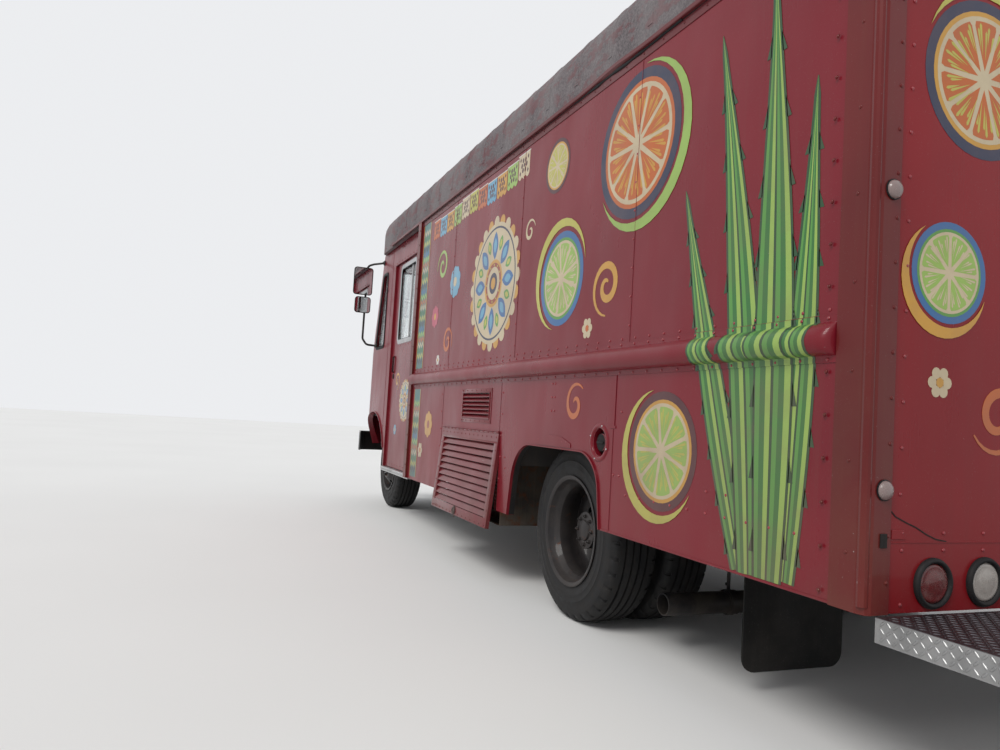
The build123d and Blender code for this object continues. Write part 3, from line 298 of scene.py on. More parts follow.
def scatter(name, points, turns, shape, values, mat, body, smooth=False):
    # Geometry Nodes: the same small shape on every point, in one mesh. turns are (attribute, the shape's
    # axis, a direction for each point); values are the group's named inputs, which shape builds from.
    tree = bpy.data.node_groups.new(name, "GeometryNodeTree")
    tree.is_modifier = True
    named = tree.interface.new_socket
    named("Points", in_out="INPUT", socket_type="NodeSocketGeometry")
    keys = {named(key, in_out="INPUT", socket_type="NodeSocketFloat").identifier: value
            for key, value in values.items()}
    named("Heads", in_out="OUTPUT", socket_type="NodeSocketGeometry")
    source = node(tree, "NodeGroupInput").outputs
    turned = {}
    for attribute, axis, _ in turns:
        read = node(tree, "GeometryNodeInputNamedAttribute", {"data_type": "FLOAT_VECTOR"}, Name=attribute)
        turned = {"Rotation": node(tree, "FunctionNodeAlignRotationToVector",
                                   {"axis": axis, "pivot_axis": "Z" if turned else "AUTO"},
                                   Vector=read.outputs["Attribute"], **turned).outputs["Rotation"]}
    made = node(tree, "GeometryNodeInstanceOnPoints", Points=source["Points"],
                **shape(tree, source), **turned)
    made = node(tree, "GeometryNodeRealizeInstances", Geometry=made.outputs["Instances"])
    if smooth:
        made = node(tree, "GeometryNodeSetShadeSmooth", Geometry=made.outputs["Geometry"])
    made = node(tree, "GeometryNodeSetMaterial", Geometry=made.outputs["Geometry"], Material=mat)
    node(tree, "NodeGroupOutput", Heads=made.outputs["Geometry"])

    mesh = bpy.data.meshes.new(name + "_points")
    mesh.from_pydata([Vector(p) for p in points], [], [])
    for attribute, _, rows in turns:
        column = mesh.attributes.new(attribute, "FLOAT_VECTOR", "POINT")
        column.data.foreach_set("vector", [c for row in rows for c in row])
    holder = put(name + "_points", mesh)
    modifier = holder.modifiers.new("heads", "NODES")
    modifier.node_group = tree
    for key, value in keys.items():
        modifier[key] = value
    holder.update_tag()
    heads = evaluated(holder)
    bpy.data.objects.remove(holder)
    if not heads.materials:
        heads.materials.append(mat)
    return on_body(put(name, heads), body)


def studs(name, places, mat, radius, rise, body="truck", sides=8):
    # low turned heads; places are (point, outward direction)
    def head(tree, source):
        top = times(tree, source["Head radius"], 0.55)
        cone = node(tree, "GeometryNodeMeshCone", Vertices=sides, Side_Segments=2, Radius_Top=top,
                    Radius_Bottom=source["Head radius"], Depth=source["Head rise"])
        return {"Instance": cone.outputs["Mesh"]}

    scatter(name, [p for p, _ in places], [("out", "Z", [d for _, d in places])], head,
            {"Head radius": radius, "Head rise": rise}, mat, body, smooth=True)


frame_black = painted("chassis_paint", (0.026, 0.025, 0.026), 0.55, grime_top=1.1,
                      grime_amount=0.75, rust=0.35)
axle_iron = painted("axle_iron", (0.045, 0.038, 0.033), 0.7, grime_top=1.0, grime_amount=0.8, rust=0.8)
dress(frame_black, "chassis_frame", "fuel_tank")
dress(axle_iron, "front_axle", "rear_axle", "driveline", "knuckle_left", "knuckle_right")
RAIL_Y, RAIL_Z = 0.43, (0.53, 0.594, 0.658)
studs("frame_bolts", [((x + dx, s * RAIL_Y, z), (0, s, 0)) for x in (-3.07, -1.97, -0.67, 0.53, 1.53, 3.33)
                      for s in (1, -1) for dx in (-0.022, 0.022) for z in RAIL_Z],
      frame_black, 0.011, 0.009, sides=6)

bm = bmesh.new()
for axle_x, seat_z, inner, outer, reach in ((-1.425, 0.47, 0.44, 0.505, 0.56),
                                            (2.825, 0.385, 0.362, 0.43, 0.5)):
    for s in (1, -1):
        for dx in (-0.052, 0.052):
            for y in (inner + 0.008, outer - 0.008):
                lathe(bm, (axle_x + dx, s * y, 0.3), (0, 0, 1), [(0, 0.008), (seat_z - 0.19, 0.008)], 8)
        for k in range(1, 5):
            half = reach * (1 - 0.17 * k)
            path = [(axle_x + t, s * (inner + outer) / 2, seat_z + 0.055 - 0.011 * k + 0.1 * (t / reach) ** 2)
                    for t in (-half, -half / 2, 0, half / 2, half)]
            sweep(bm, path, bar(0.036, 0.0045))
        box(bm, axle_x - 0.075, axle_x + 0.075, s * (inner - 0.006), s * (outer + 0.006), seat_z + 0.055,
            seat_z + 0.072, 0.003)
finish_piece(bm, "spring_leaves", axle_iron, 35)


# ---- Waste pipe and mud flaps
# The pipe behind the left wheels is plain black steel pipe in strap hangers; the flaps are thick worn
# rubber sheets with rounded lower corners, bolted under a flat bar.
def rounded_path(points, radius, steps=5, closed=False):
    # replace each corner of a path by an arc
    path = [Vector(p) for p in points]
    out = []
    for i, p in enumerate(path):
        if not closed and i in (0, len(path) - 1):
            out.append(p)
            continue
        a, b = path[i - 1] - p, path[(i + 1) % len(path)] - p
        half = a.angle(b) / 2
        reach = min(radius / tan(half), a.length * 0.49, b.length * 0.49)
        centre = p + (a.normalized() + b.normalized()).normalized() * (reach / cos(half))
        start, end = p + a.normalized() * reach - centre, p + b.normalized() * reach - centre
        swing = start.angle(end)
        out += [centre + (start * sin((1 - t) * swing) + end * sin(t * swing)) / sin(swing)
                for t in (k / steps for k in range(steps + 1))]
    return out


bm = bmesh.new()
PIPE_X, PIPE_Z, FLAP_X = -1.985, 0.2, -2.495
lathe(bm, (PIPE_X, 0.335, PIPE_Z), (0, 1, 0),
      [(0, 0.04), (0, 0.047), (0.2, 0.047), (0.2, 0.051), (0.255, 0.051), (0.255, 0.047), (0.562, 0.047),
       (0.565, 0.045), (0.565, 0.041), (0.4, 0.041), (0.02, 0.041)], close=False)
box(bm, PIPE_X - 0.033, PIPE_X + 0.033, 0.062, 0.342, PIPE_Z - 0.027, PIPE_Z + 0.027, 0.004)
for y, top in ((0.57, 0.684), (0.1, 0.61)):
    ring = [(PIPE_X + 0.052 * cos(a), y, PIPE_Z + 0.052 * sin(a)) for a in around(24, pi / 2)]
    sweep(bm, ring, bar(0.0025, 0.012), True, (0, 1, 0))
    box(bm, PIPE_X - 0.009, PIPE_X + 0.009, y - 0.003, y + 0.003, PIPE_Z + 0.05, top, 0.001)
    lathe(bm, (PIPE_X + 0.01, y, PIPE_Z + 0.075), (1, 0, 0), [(0, 0.008), (0.006, 0.007)], 6)
box(bm, PIPE_X - 0.009, PIPE_X + 0.009, 0.092, 0.36, 0.594, 0.612, 0.002)
pipe_black = painted("pipe_black", (0.01, 0.01, 0.012), 0.36, grime_amount=0.28)
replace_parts(finish_piece(bm, "pipe_run", pipe_black), "waste_pipe")

flap_rubber = painted("flap_rubber", (0.006, 0.006, 0.006), 0.62, grime=(0.07, 0.062, 0.055), grime_top=0.6,
                      grime_amount=0.3, grain=0.0004, fade=0.02)
bm = bmesh.new()
for s in (1, -1):
    low, high, inner, outer = 0.08, 0.684, 0.44, 0.9
    corners = [(outer, low, 0), (inner, low, 0), (inner, high, 0), (outer, high, 0)]
    outline = rounded_path(corners, 0.055, 6, True)[:14] + [Vector(c) for c in corners[2:]]
    loft(bm, [[(FLAP_X + x, s * p.x, p.y) for p in outline] for x in (0.0005, 0.0075)])
    for y in (0.47, 0.56, 0.66, 0.76, 0.86):
        lathe(bm, (FLAP_X, s * y, 0.662), (-1, 0, 0), [(0, 0.011), (0.008, 0.01)], 6)
    box(bm, FLAP_X - 0.01, FLAP_X - 0.0005, s * 0.441, s * 0.899, 0.641, 0.683, 0.003)
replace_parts(finish_piece(bm, "mud_flap_sheets", flap_rubber), "mud_flaps")

# ---- Floor, wheel houses, entry steps
# Worn steel deck and folded wheel houses; the entry steps are ribbed aluminium, with a slotted kick plate
# below each cab door.
floor_sheet = painted("floor_sheet", (0.075, 0.07, 0.068), 0.55, grime_top=1.0, grime_amount=0.6, rust=0.3,
                      metal=0.2)


def brushed(name, base, rough, stretch, metal=1.0, dirt=0.25, grain=0.00008, dents=0.0):
    # rolled or brushed metal: fine lines one way, cloudy oxide, a few dents
    mat, tree, shader = principled(name, base, rough, metal)
    lines = noise(tree, 60, 3, stretch)
    cloud = cloudy(tree, 5, 6, 0.42, 0.75, rough=0.65)
    clean = tint(tree, lines, tuple(c * 0.9 for c in base), base)
    gloss = ranged(tree, lines, 0.3, 0.7, rough * 0.8, rough * 1.25)
    wire(tree, shader, Base_Color=tint(tree, times(tree, cloud, dirt), clean, tuple(c * 0.45 for c in base)),
         Roughness=times(tree, gloss, times(tree, cloud, 0.2), "ADD"))
    layers = [(lines, 0.25, grain)]
    if dents:
        layers.append((cloudy(tree, 6, 2, 0.3, 0.75), 0.6, dents))
    bumped(tree, shader, *layers)
    return mat


def boxes(bm, bevel, *rows, segments=2):
    for row in rows:
        box(bm, *row, bevel, segments)


def plates(bm, bevel, *rows):
    # sheet and small blocks, whose edges are broken by a single narrow face
    boxes(bm, bevel, *rows, segments=1)


aluminium = brushed("bare_aluminium", (0.6, 0.6, 0.6), 0.38, (1, 14, 14), dirt=0.5, dents=0.002)
dress(floor_sheet, "floor", "wheel_houses")
dress(aluminium, "entry_steps")
bm = bmesh.new()
for s in (1, -1):
    y0, y1 = s * 1.15, s * 1.153
    plates(bm, 0.0012, *((x, x + 0.03, s * 0.715, s * 1.068, 0.4595, 0.4625)
                         for x in (1.4 + 0.072 * i for i in range(12))))
    plates(bm, 0.001, (1.326, 2.286, y0, y1, 0.4, 0.4095), (1.326, 2.286, y0, y1, 0.4265, 0.436),
           *((1.326 + 0.0385 * i, (1.338 if i % 2 else 1.342) + 0.0385 * i, y0, y1, 0.409, 0.427)
             for i in range(25)))
finish_piece(bm, "kick_plates", aluminium)

# ---- Side walls and rear wall
# Riveted aluminium sheets on posts, sprayed deep crimson, slightly dented so that reflections wander.
# The CAD sheets stay; seams, the arch lip and its patch, the filler and all the rivets are added.
body_paint = painted("body_paint", (0.165, 0.006, 0.014), 0.28, grime=(0.15, 0.07, 0.055), grime_top=0.85,
                     grime_amount=0.32, coat=0.22, ripple=0.016, chips=0.5)
rear_paint = painted("rear_paint", (0.2, 0.004, 0.008), 0.3, grime=(0.1, 0.045, 0.035), grime_amount=0.3,
                     coat=0.15, ripple=0.006, chips=0.3, fade=0.14)
post_paint = painted("post_paint", (0.115, 0.008, 0.008), 0.3, grime=(0.13, 0.06, 0.035), grime_top=1.6,
                     grime_amount=0.4, coat=0.2, ripple=0.003, chips=0.8, fade=0.2)
# a lighter crimson on the rivet heads, a painted highlight so that they read as catching the light; their
# chips and dirt are real
rivet_highlight_paint = painted("rivet_highlight_paint", (0.26, 0.03, 0.038), 0.24, grime=(0.2, 0.1, 0.08), grime_amount=0.25,
                      coat=0.5, chips=1.0, fade=0.2)
dress(body_paint, "left_side", "right_side", "cab_front", "serving_hatch")
dress(rear_paint, "rear_wall", "rear_door")
dress(post_paint, "corner_posts")
SIDE, REAR = 1.175, -3.275
seal_black = painted("seal_black", (0.009, 0.009, 0.01), 0.5, grime_amount=0.3, grime=(0.12, 0.1, 0.09))
dark_inside = painted("filler_cup", (0.012, 0.011, 0.011), 0.7, grime_amount=0.2)


def steps(start, pitch, count):
    return [start + pitch * i for i in range(count)]


def spots(xs, ys, zs, out):
    # places for studs, on a grid
    return [((x, y, z), out) for x in xs for y in ys for z in zs]


places = []
for s in (1, -1):
    along = steps(-3.13, 0.1016, 43)
    for xs, zs in (
            (along, [1.287]), ([x for x in along if s > 0 or not -1.33 < x < 0.98], [2.452]),
            (steps(-2.097, -0.1033, 10), [0.66]), ((-2.614, -2.718, -2.039, -1.995), [0.732]),
            ((-0.75, -0.802), [0.722]), ([-2.039], [0.99]), ((-1.372, -1.403), (1.118, 1.052, 0.986)),
            ((-1.245, -1.513, -1.551), [0.844]), ([-0.812], [0.664]), ([1.205], steps(1.38, 0.09, 12)),
            ((-2.062, -0.85, 0.355), steps(1.34, 0.118, 9 if s > 0 else 1)),
            ((1.205, 0.428, -0.728) if s > 0 else [1.205], steps(0.6, 0.12, 5))):
        places += spots(xs, [s * SIDE], zs, (0, s, 0))
studs("side_rivets", places, rivet_highlight_paint, 0.0062, 0.0032)

bm, undercoat = bmesh.new(), bmesh.new()
arch = rounded_path([(-1.905, 0, 0.497), (-1.855, 0, 0.81), (-0.945, 0, 0.81), (-0.885, 0, 0.422)], 0.23, 10)
patch = [(-1.225, 0.818), (-1.24, 0.852), (-1.36, 0.872), (-1.5, 0.866), (-1.6, 0.838), (-1.6, 0.818)]
for s in (1, -1):
    y = s * (SIDE + 0.0008)
    sweep(bm, [(p.x, y, p.z) for p in arch], bar(0.0028, 0.009, 0.007), up=(0, 1, 0))
    bm.faces.new(loft(bm, [[(x, y + s * d, z) for x, z in patch] for d in (-0.0006, 0.0018)], ends=False)[1])
    for x0, x1, z0, z1, rise, bevel in [
            (-1.99, -1.964, 0.931, 1.14, 0.0022, 0.0008), (-2.0, -1.955, 0.921, 0.933, 0.0022, 0.0008),
            (-1.981, -1.978, 0.497, 0.921, 0.0016, 0.0006), (-3.235, -1.98, 1.268, 1.2735, 0.0012, 0.0005),
            (-3.235, -1.915, 0.4965, 0.5035, 0.0016, 0.0006)] + [
            (x - 0.012, x - 0.009, 1.272, 2.476 if s > 0 else 1.318, 0.0014, 0.0006)
            for x in (-2.062, -0.85, 0.355)] + [
            (x - 0.0015, x + 0.0015, 0.424, 1.139, 0.0014, 0.0006) for x in (0.398, -0.7) if s > 0]:
        box(bm, x0, x1, y, y + s * rise, z0, z1, bevel, 1)
    rings = []
    for i, p in enumerate(arch):
        along = (arch[min(i + 1, len(arch) - 1)] - arch[max(i - 1, 0)]).normalized()
        inward = Vector((along.z, 0, -along.x))
        rings.append([p + inward * depth + Vector((0, s * y, 0)) for depth, y in
                      ((0.001, SIDE - 0.0085), (0.0027, SIDE - 0.0085), (0.0027, 1.136), (0.001, 1.136))])
    loft(undercoat, rings)
finish_piece(bm, "side_seams", body_paint, 30)
finish_piece(undercoat, "arch_undercoat", dark_inside)

FILLER_X, FILLER_Z = -1.866, 0.858
bm = bmesh.new()
lathe(bm, (FILLER_X, SIDE - 0.004, FILLER_Z), (0, 1, 0),
      [(0, 0.058), (0.004, 0.0595), (0.009, 0.063), (0.01, 0.07), (0.009, 0.077), (0.0045, 0.082)], 48, False)
finish_piece(bm, "filler_ring", body_paint, 60)
bm = bmesh.new()
lathe(bm, (FILLER_X, SIDE - 0.0335, FILLER_Z), (0, 1, 0),
      [(0, 0.036), (0, 0.0586), (0.0325, 0.0586), (0.033, 0.0592), (-0.001, 0.0592),
       (-0.001, 0.036)], 48, False)
lathe(bm, (FILLER_X, SIDE - 0.0335, FILLER_Z), (0, 1, 0),
      [(0, 0.036), (0.002, 0.0405), (0.018, 0.0405), (0.024, 0.0385), (0.0275, 0.033),
       (0.0285, 0)], 40, False)
box(bm, FILLER_X - 0.028, FILLER_X + 0.028, SIDE - 0.008, SIDE - 0.0005, 0.852, 0.864, 0.0025)
finish_piece(bm, "filler_cup", dark_inside)
studs("filler_screws", [((FILLER_X + 0.0745 * cos(a), SIDE + 0.0055, FILLER_Z + 0.0745 * sin(a)), (0, 1, 0))
                        for a in around(4, radians(20))], aluminium, 0.0045, 0.002)

# ---- Rub rails
# A hollow bulged rail of folded sheet, with a riveted flange above and below, along both sides at knee
# height; its rear end is closed and rounded. Dented and scuffed.
RAIL_PROFILE = [(0.0, 1.14), (0.003, 1.1402), (0.0034, 1.156), (0.006, 1.159), (0.016, 1.16), (0.029, 1.165),
                (0.039, 1.175), (0.045, 1.188), (0.0476, 1.201), (0.045, 1.214), (0.037, 1.229),
                (0.023, 1.243), (0.01, 1.25), (0.004, 1.2525), (0.0031, 1.255), (0.0031, 1.2715),
                (0.0, 1.272)]


def rail_out(z):
    # how far the rub rail stands proud of the wall at a height
    if not 1.14 <= z <= 1.272:
        return 0.0
    for (a, za), (b, zb) in zip(RAIL_PROFILE[1:-1], RAIL_PROFILE[2:]):
        if za <= z <= zb:
            return a + (b - a) * (z - za) / max(1e-6, zb - za)
    return 0.003


bm = bmesh.new()
FLANGE = 0.0031
closing = ((-3.16, 0.02), (-3.157, 0.35), (-3.15, 0.66), (-3.138, 0.86), (-3.12, 0.97), (-3.098, 1.0),
           (1.242, 1.0))
for s in (1, -1):
    loft(bm, [[(x, s * (SIDE + min(out, FLANGE) + max(0.0, out - FLANGE) * fill), z)
               for out, z in RAIL_PROFILE] for x, fill in closing], closed=False)
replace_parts(finish_piece(bm, "rub_rail_pair", body_paint, 38), "rub_rails")
studs("rub_rail_rivets", [place for s in (1, -1) for place in
                          spots(steps(-3.13, 0.1016, 43), [s * (SIDE + 0.003)], (1.149, 1.263), (0, s, 0))],
      rivet_highlight_paint, 0.0062, 0.0034)

# ---- Corner posts, rear frame and lamp panel
# Folded posts with a bead, riveted through; the rear panel below the door is a separate sheet whose seam
# has opened on the left, with a small latch plate there.
BACK = (-1, 0, 0)
places, heights = [], steps(0.525, 0.118, 17)
for s in (1, -1):
    for x, y, zs in ((-3.131, 1.182, heights), (-3.222, 1.1835, heights[1::2]), (1.262, 1.1935, heights)):
        places += spots([x], [s * y], zs, (0, s, 0))
    places += spots([-3.2855], [s * 1.112], steps(0.575, 0.118, 17), BACK)
studs("post_rivets", places, post_paint, 0.0062, 0.0034)
across_rear, RIVET_X = steps(-1.05, 0.15, 15), -3.2752
studs("rear_rivets", spots([RIVET_X], across_rear, [2.455], BACK)
      + spots([RIVET_X], [y for y in across_rear if abs(y) > 0.44], (0.516, 0.655, 0.7), BACK)
      + spots([RIVET_X], (-1.06, -0.455, 0.455, 1.06), steps(0.8, 0.12, 14), BACK),
      rivet_highlight_paint, 0.0058, 0.003)
bm = bmesh.new()
plates(bm, 0.0005, (-3.2768, REAR, -1.095, 1.095, 0.6745, 0.6775))
for s in (1, -1):
    plates(bm, 0.001, (-3.278, REAR, s * 1.04, s * 1.088, 0.684, 0.708),
           (-3.2775, REAR, s * 0.428, s * 0.446, 0.735, 2.3))
plates(bm, 0.001, (-3.2775, REAR, -0.446, 0.446, 2.3, 2.318), (-3.294, REAR, -0.5, 0.5, 2.335, 2.34))
finish_piece(bm, "rear_seams", rear_paint, 30)
bm = bmesh.new()
crack = [(1.112, 0.79), (1.1, 0.765), (1.075, 0.742), (1.04, 0.728), (1.0, 0.714), (0.965, 0.697),
         (0.93, 0.684), (0.89, 0.678)]
sweep(bm, [(-3.2757, y, z) for y, z in crack], bar(0.0016, 0.0008), up=(1, 0, 0))
plates(bm, 0.001, (-3.292, -3.287, 1.118, 1.14, 0.664, 0.7))
finish_piece(bm, "rear_crack_and_latch", dark_inside, 30)

# ---- Roof and drip rails
# One-piece moulded shell coated dark grey-red, gone gravelly and peeling, with seam battens over the turned
# edges; a folded drip rail below it, with smeared sealant that has opened near the rear.
roof_coat, tree, shader = principled("roof_coat", (0.16, 0.12, 0.13), 0.8)
gravel = noise(tree, 95, 5, rough=0.7)
peel = cloudy(tree, 9, 9, 0.5, 0.56, stretch=(1, 1, 1.8), rough=0.72)
rungs = cloudy(tree, 3.4, 2, 0.42, 0.58, stretch=(1, 0.05, 0.05))
colour = tint(tree, ranged(tree, gravel, 0.35, 0.65), (0.055, 0.045, 0.05), (0.19, 0.165, 0.17))
colour = tint(tree, times(tree, peel, 0.55), colour, (0.14, 0.03, 0.036))
colour = tint(tree, times(tree, rungs, 0.25), colour, (0.27, 0.25, 0.25))
wire(tree, shader, Base_Color=colour, Roughness=ranged(tree, gravel, 0.3, 0.7, 0.62, 0.92))
bumped(tree, shader, (gravel, 0.7, 0.0018), (peel, 0.6, 0.0012))
EAVE, TURN, ROOF_TOP, FRONT_TURN = 2.48, 2.66, 2.9, 0.24
quarter = [radians(15 * k) for k in range(7)]
levels = [(1.175, EAVE), (1.175, 2.57), (1.175, TURN)]
levels += [(0.975 + 0.2 * cos(t), TURN + 0.2 * sin(t)) for t in quarter[1:]]
levels += [(w, ROOF_TOP - 0.04 * (w / 0.975) ** 2) for w in (0.85, 0.65, 0.45, 0.25, 0.08)]
rings = []
for half, z in levels:
    rise = min(FRONT_TURN, max(0.0, z - TURN))
    front = 2.79 - (FRONT_TURN - sqrt(max(0.0, FRONT_TURN ** 2 - rise ** 2)))
    corner = min(0.13, half * 0.6)
    plan = [(REAR, -half), (-1.0, -half), (1.2, -half)]
    plan += [(front - corner + corner * sin(t), -half + corner - corner * cos(t)) for t in quarter]
    rings.append([(x, y, z) for x, y in plan + [(x, -y) for x, y in reversed(plan)]])
bm = bmesh.new()
rings = loft(bm, rings, closed=False, ends=False)
bm.faces.new(rings[-1])
bm.faces.new([ring[0] for ring in rings] + [ring[-1] for ring in reversed(rings)])
bmesh.ops.recalc_face_normals(bm, faces=bm.faces)
bmesh.ops.solidify(bm, geom=list(bm.faces), thickness=0.035)
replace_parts(finish_piece(bm, "roof_shell", roof_coat), "roof")

bm = bmesh.new()
for s in (1, -1):
    for x in steps(-3.1, 0.33, 17):
        sweep(bm, [(x, s * (w - 0.0005), z) for w, z in levels[1:9]], bar(0.02, 0.0005, 0.003, 0.017),
              up=(0, s * 0.7, 0.7))
finish_piece(bm, "roof_battens", roof_coat, 35)

rail_paint = painted("drip_rail_paint", (0.11, 0.012, 0.016), 0.4, grime=(0.12, 0.09, 0.08), grime_top=4.0,
                     grime_amount=0.6, coat=0.3, chips=1.0)
bm = bmesh.new()
section = [(0.0, 2.48), (0.018, 2.48), (0.02, 2.483), (0.02, 2.498), (0.017, 2.498),
           (0.017, 2.485), (0.0, 2.485)]
for s in (1, -1):
    rings = []
    for x in steps(REAR, 5.56 / 60, 61):
        opened = 0.01 * exp(-((x + 1.85) / 0.16) ** 2) if s > 0 else 0.0
        rings.append([(x, s * (SIDE + out), z + (opened if out > 0.01 else 0.0)) for out, z in section])
    loft(bm, rings)
    plates(bm, 0.001, (REAR, 1.242, s * SIDE, s * (SIDE + 0.0035), 2.44, 2.4798))
finish_piece(bm, "drip_rails", rail_paint, 30)


def circle(radius, sides=12):
    return [(radius * cos(t), radius * sin(t)) for t in around(sides)]


bm = bmesh.new()
for s, start, end, size in ((1, -3.27, 2.27, 0.0028), (1, -2.35, -1.45, 0.0075), (-1, -3.27, 2.27, 0.0028)):
    count = int((end - start) / 0.06)
    path = [(start + (end - start) * i / count, s * (SIDE + 0.0035),
             2.4785 + random.uniform(-1, 1) * size * 0.4) for i in range(count + 1)]
    for ring, centre in zip(sweep(bm, path, circle(1.0, 6)), path):
        fat = size * random.uniform(0.5, 1.35)
        for v in ring:
            v.co = Vector(centre) + (v.co - Vector(centre)) * fat
finish_piece(bm, "roof_sealant", seal_black, 60)
studs("roof_rivets", [place for s in (1, -1) for place in
                      spots(steps(-3.2, 0.14, 32), [s * (SIDE + 0.0036)], [2.461], (0, s, 0))
                      + spots(steps(-3.2, 0.165, 36), [s * SIDE], [2.512], (0, s, 0))],
      rail_paint, 0.0055, 0.003)

# ---- Cab front: glass, seals, grille, wipers
# Flat glass in black rubber seals with rounded corners, a slotted grille with steel mesh behind, and two
# wipers; the nose keeps its crimson sheet.
clear_glass, tree, shader = principled("clear_glass", (0.8, 0.86, 0.86), 0.04, Transmission_Weight=1.0,
                                       IOR=1.45, Alpha=0.55)
wire(tree, shader, Roughness=cloudy(tree, 5, 6, 0.45, 0.8, 0.03, 0.16, stretch=(1, 1, 0.5)))
dress(clear_glass, "cab_glass", "cab_door_glass_left", "cab_door_glass_right")
SCREEN_FOOT, CAB_SIDE, DOOR_SKIN, NOSE = Vector((3.06, 0, 1.54)), 1.135, 1.1152, 3.4305
screen_lean = Vector((2.82, 0, 2.4)) - SCREEN_FOOT
screen_out = Vector((0, 1, 0)).cross(screen_lean.normalized())


def on_screen(y, height, out):
    # a point on the raked windscreen plane at a level, standing proud of the cab's skin
    return SCREEN_FOOT + screen_lean * ((height - 1.54) / 0.86) + Vector((0, y, 0)) + screen_out * out


def seal_ring(bm, corners, radius, out_dir, half, rise):
    sweep(bm, rounded_path(corners, radius, 5, True),
          [(-half, -0.002), (half, -0.002), (half * 0.8, rise), (0, rise * 1.35), (-half * 0.8, rise)],
          True, out_dir)


bm = bmesh.new()
for s in (1, -1):
    screen = ((0.03, 1.585), (1.0, 1.585), (1.0, 2.35), (0.03, 2.35))
    quarter = ((2.585, 1.56), (2.585, 2.28), (2.775, 2.28), (2.95, 1.56))
    seal_ring(bm, [on_screen(s * y, z, 0.0) for y, z in screen], 0.07, screen_out, 0.017, 0.008)
    seal_ring(bm, [(x, s * (CAB_SIDE + 0.0002), z) for x, z in quarter], 0.045, (0, s, 0), 0.015, 0.006)
    foot, tip = on_screen(s * 0.3, 1.555, 0.02), on_screen(s * 0.5, 1.9, 0.018)
    lathe(bm, on_screen(s * 0.3, 1.555, 0.002), screen_out, [(0, 0.016), (0.012, 0.015), (0.022, 0.009)], 16)
    sweep(bm, [foot, foot.lerp(tip, 0.5) + screen_out * 0.004, tip], circle(0.0045, 6), up=screen_out)
    sweep(bm, [on_screen(s * (0.5 + d * 0.35), 1.9 + 0.92 * d, 0.01) for d in (-0.24, 0.24)],
          bar(0.004, 0.008, 0.004, 0.006), up=screen_out)
finish_piece(bm, "screen_seals_and_wipers", seal_black, 45)

steel_mesh = brushed("grille_mesh", (0.22, 0.21, 0.2), 0.5, (1, 10, 10), metal=0.8, dirt=0.7)
bm = bmesh.new()
plates(bm, 0, *((3.386, 3.388, y - 0.0012, y + 0.0012, 0.695, 0.98) for y in steps(-0.45, 0.015, 61)),
       *((3.388, 3.39, -0.452, 0.452, z - 0.0012, z + 0.0012) for z in steps(0.695, 0.015, 20)))
finish_piece(bm, "grille_mesh", steel_mesh, 0)
bm = bmesh.new()
for z in steps(0.7, 0.05, 6):
    boxes(bm, 0.002, (3.428, 3.4345, -0.462, 0.462, z - 0.01, z),
          (3.428, 3.4345, -0.462, 0.462, z + 0.024, z + 0.031))
boxes(bm, 0.002, *((3.428, 3.4345, s * 0.452, s * 0.466, 0.688, 0.986) for s in (1, -1)),
      (3.4255, 3.4325, -0.7, 0.7, 1.005, 1.014))
finish_piece(bm, "grille_lips", body_paint)
places = spots([NOSE], steps(-0.69, 0.115, 13), [0.632], (1, 0, 0))
for s in (1, -1):
    for xs, zs in ((steps(1.36, 0.1, 10), [2.318]), ([2.4], steps(0.68, 0.12, 14)),
                   (steps(1.36, 0.14, 10), [2.452])):
        places += spots(xs, [s * (CAB_SIDE + 0.0005)], zs, (0, s, 0))
studs("cab_rivets", places, rivet_highlight_paint, 0.0058, 0.003)
bm = bmesh.new()
WHEEL_Z, FRONT_X, ARCH_R = 0.42, 2.825, 0.512
for s in (1, -1):
    ring = [(FRONT_X + ARCH_R * cos(t), WHEEL_Z + ARCH_R * sin(t))
            for t in steps(radians(20.5), radians(139 / 24), 25)]
    sweep(bm, [(x, s * (0.7152 + sqrt(0.42 ** 2 - max(0.0, x - 3.01) ** 2)), z) for x, z in ring],
          bar(0.004, 0.011, 0.009), up=(0, 1, 0))
    plates(bm, 0.0006, (2.404, 2.41, s * (CAB_SIDE + 0.0002), s * (CAB_SIDE + 0.0017), 0.61, 2.47))
finish_piece(bm, "cab_arch_lips", body_paint)

# ---- Front bumper and headlamps
# Black folded bumper with one thin worn pale strip along its top edge, a painted highlight; sealed headlamps
# with ribbed lenses in bright rings, and amber turn lamps above them.
dress(painted("bumper_black", (0.012, 0.012, 0.012), 0.38, grime=(0.08, 0.07, 0.06), grime_top=0.8,
              grime_amount=0.3, coat=0.1, chips=0.6, fade=0.03), "front_bumper")
# a painted highlight: a thin pale strip laid along the bumper's top edge
bumper_highlight_paint = painted("bumper_highlight_paint", (0.62, 0.62, 0.58), 0.5, grime_amount=0.6, chips=0.9)
bm = bmesh.new()
edge = [(3.505, -1.1205), (3.56, -1.1205), (3.6402, -1.0605), (3.675, -0.9005)]
sweep(bm, [(x - 0.0012, y, 0.7062) for x, y in edge + [(x, -y) for x, y in reversed(edge)]],
      bar(0.0008, 0.0035))
finish_piece(bm, "bumper_highlight_strip", bumper_highlight_paint, 30)
studs("bumper_bolts", spots([3.6745], (-0.417, -0.375, 0.375, 0.417), (0.565, 0.655), (1, 0, 0)),
      frame_black, 0.012, 0.006, sides=6)
chrome = brushed("bright_ring", (0.75, 0.75, 0.76), 0.12, (1, 1, 1), dirt=0.3)


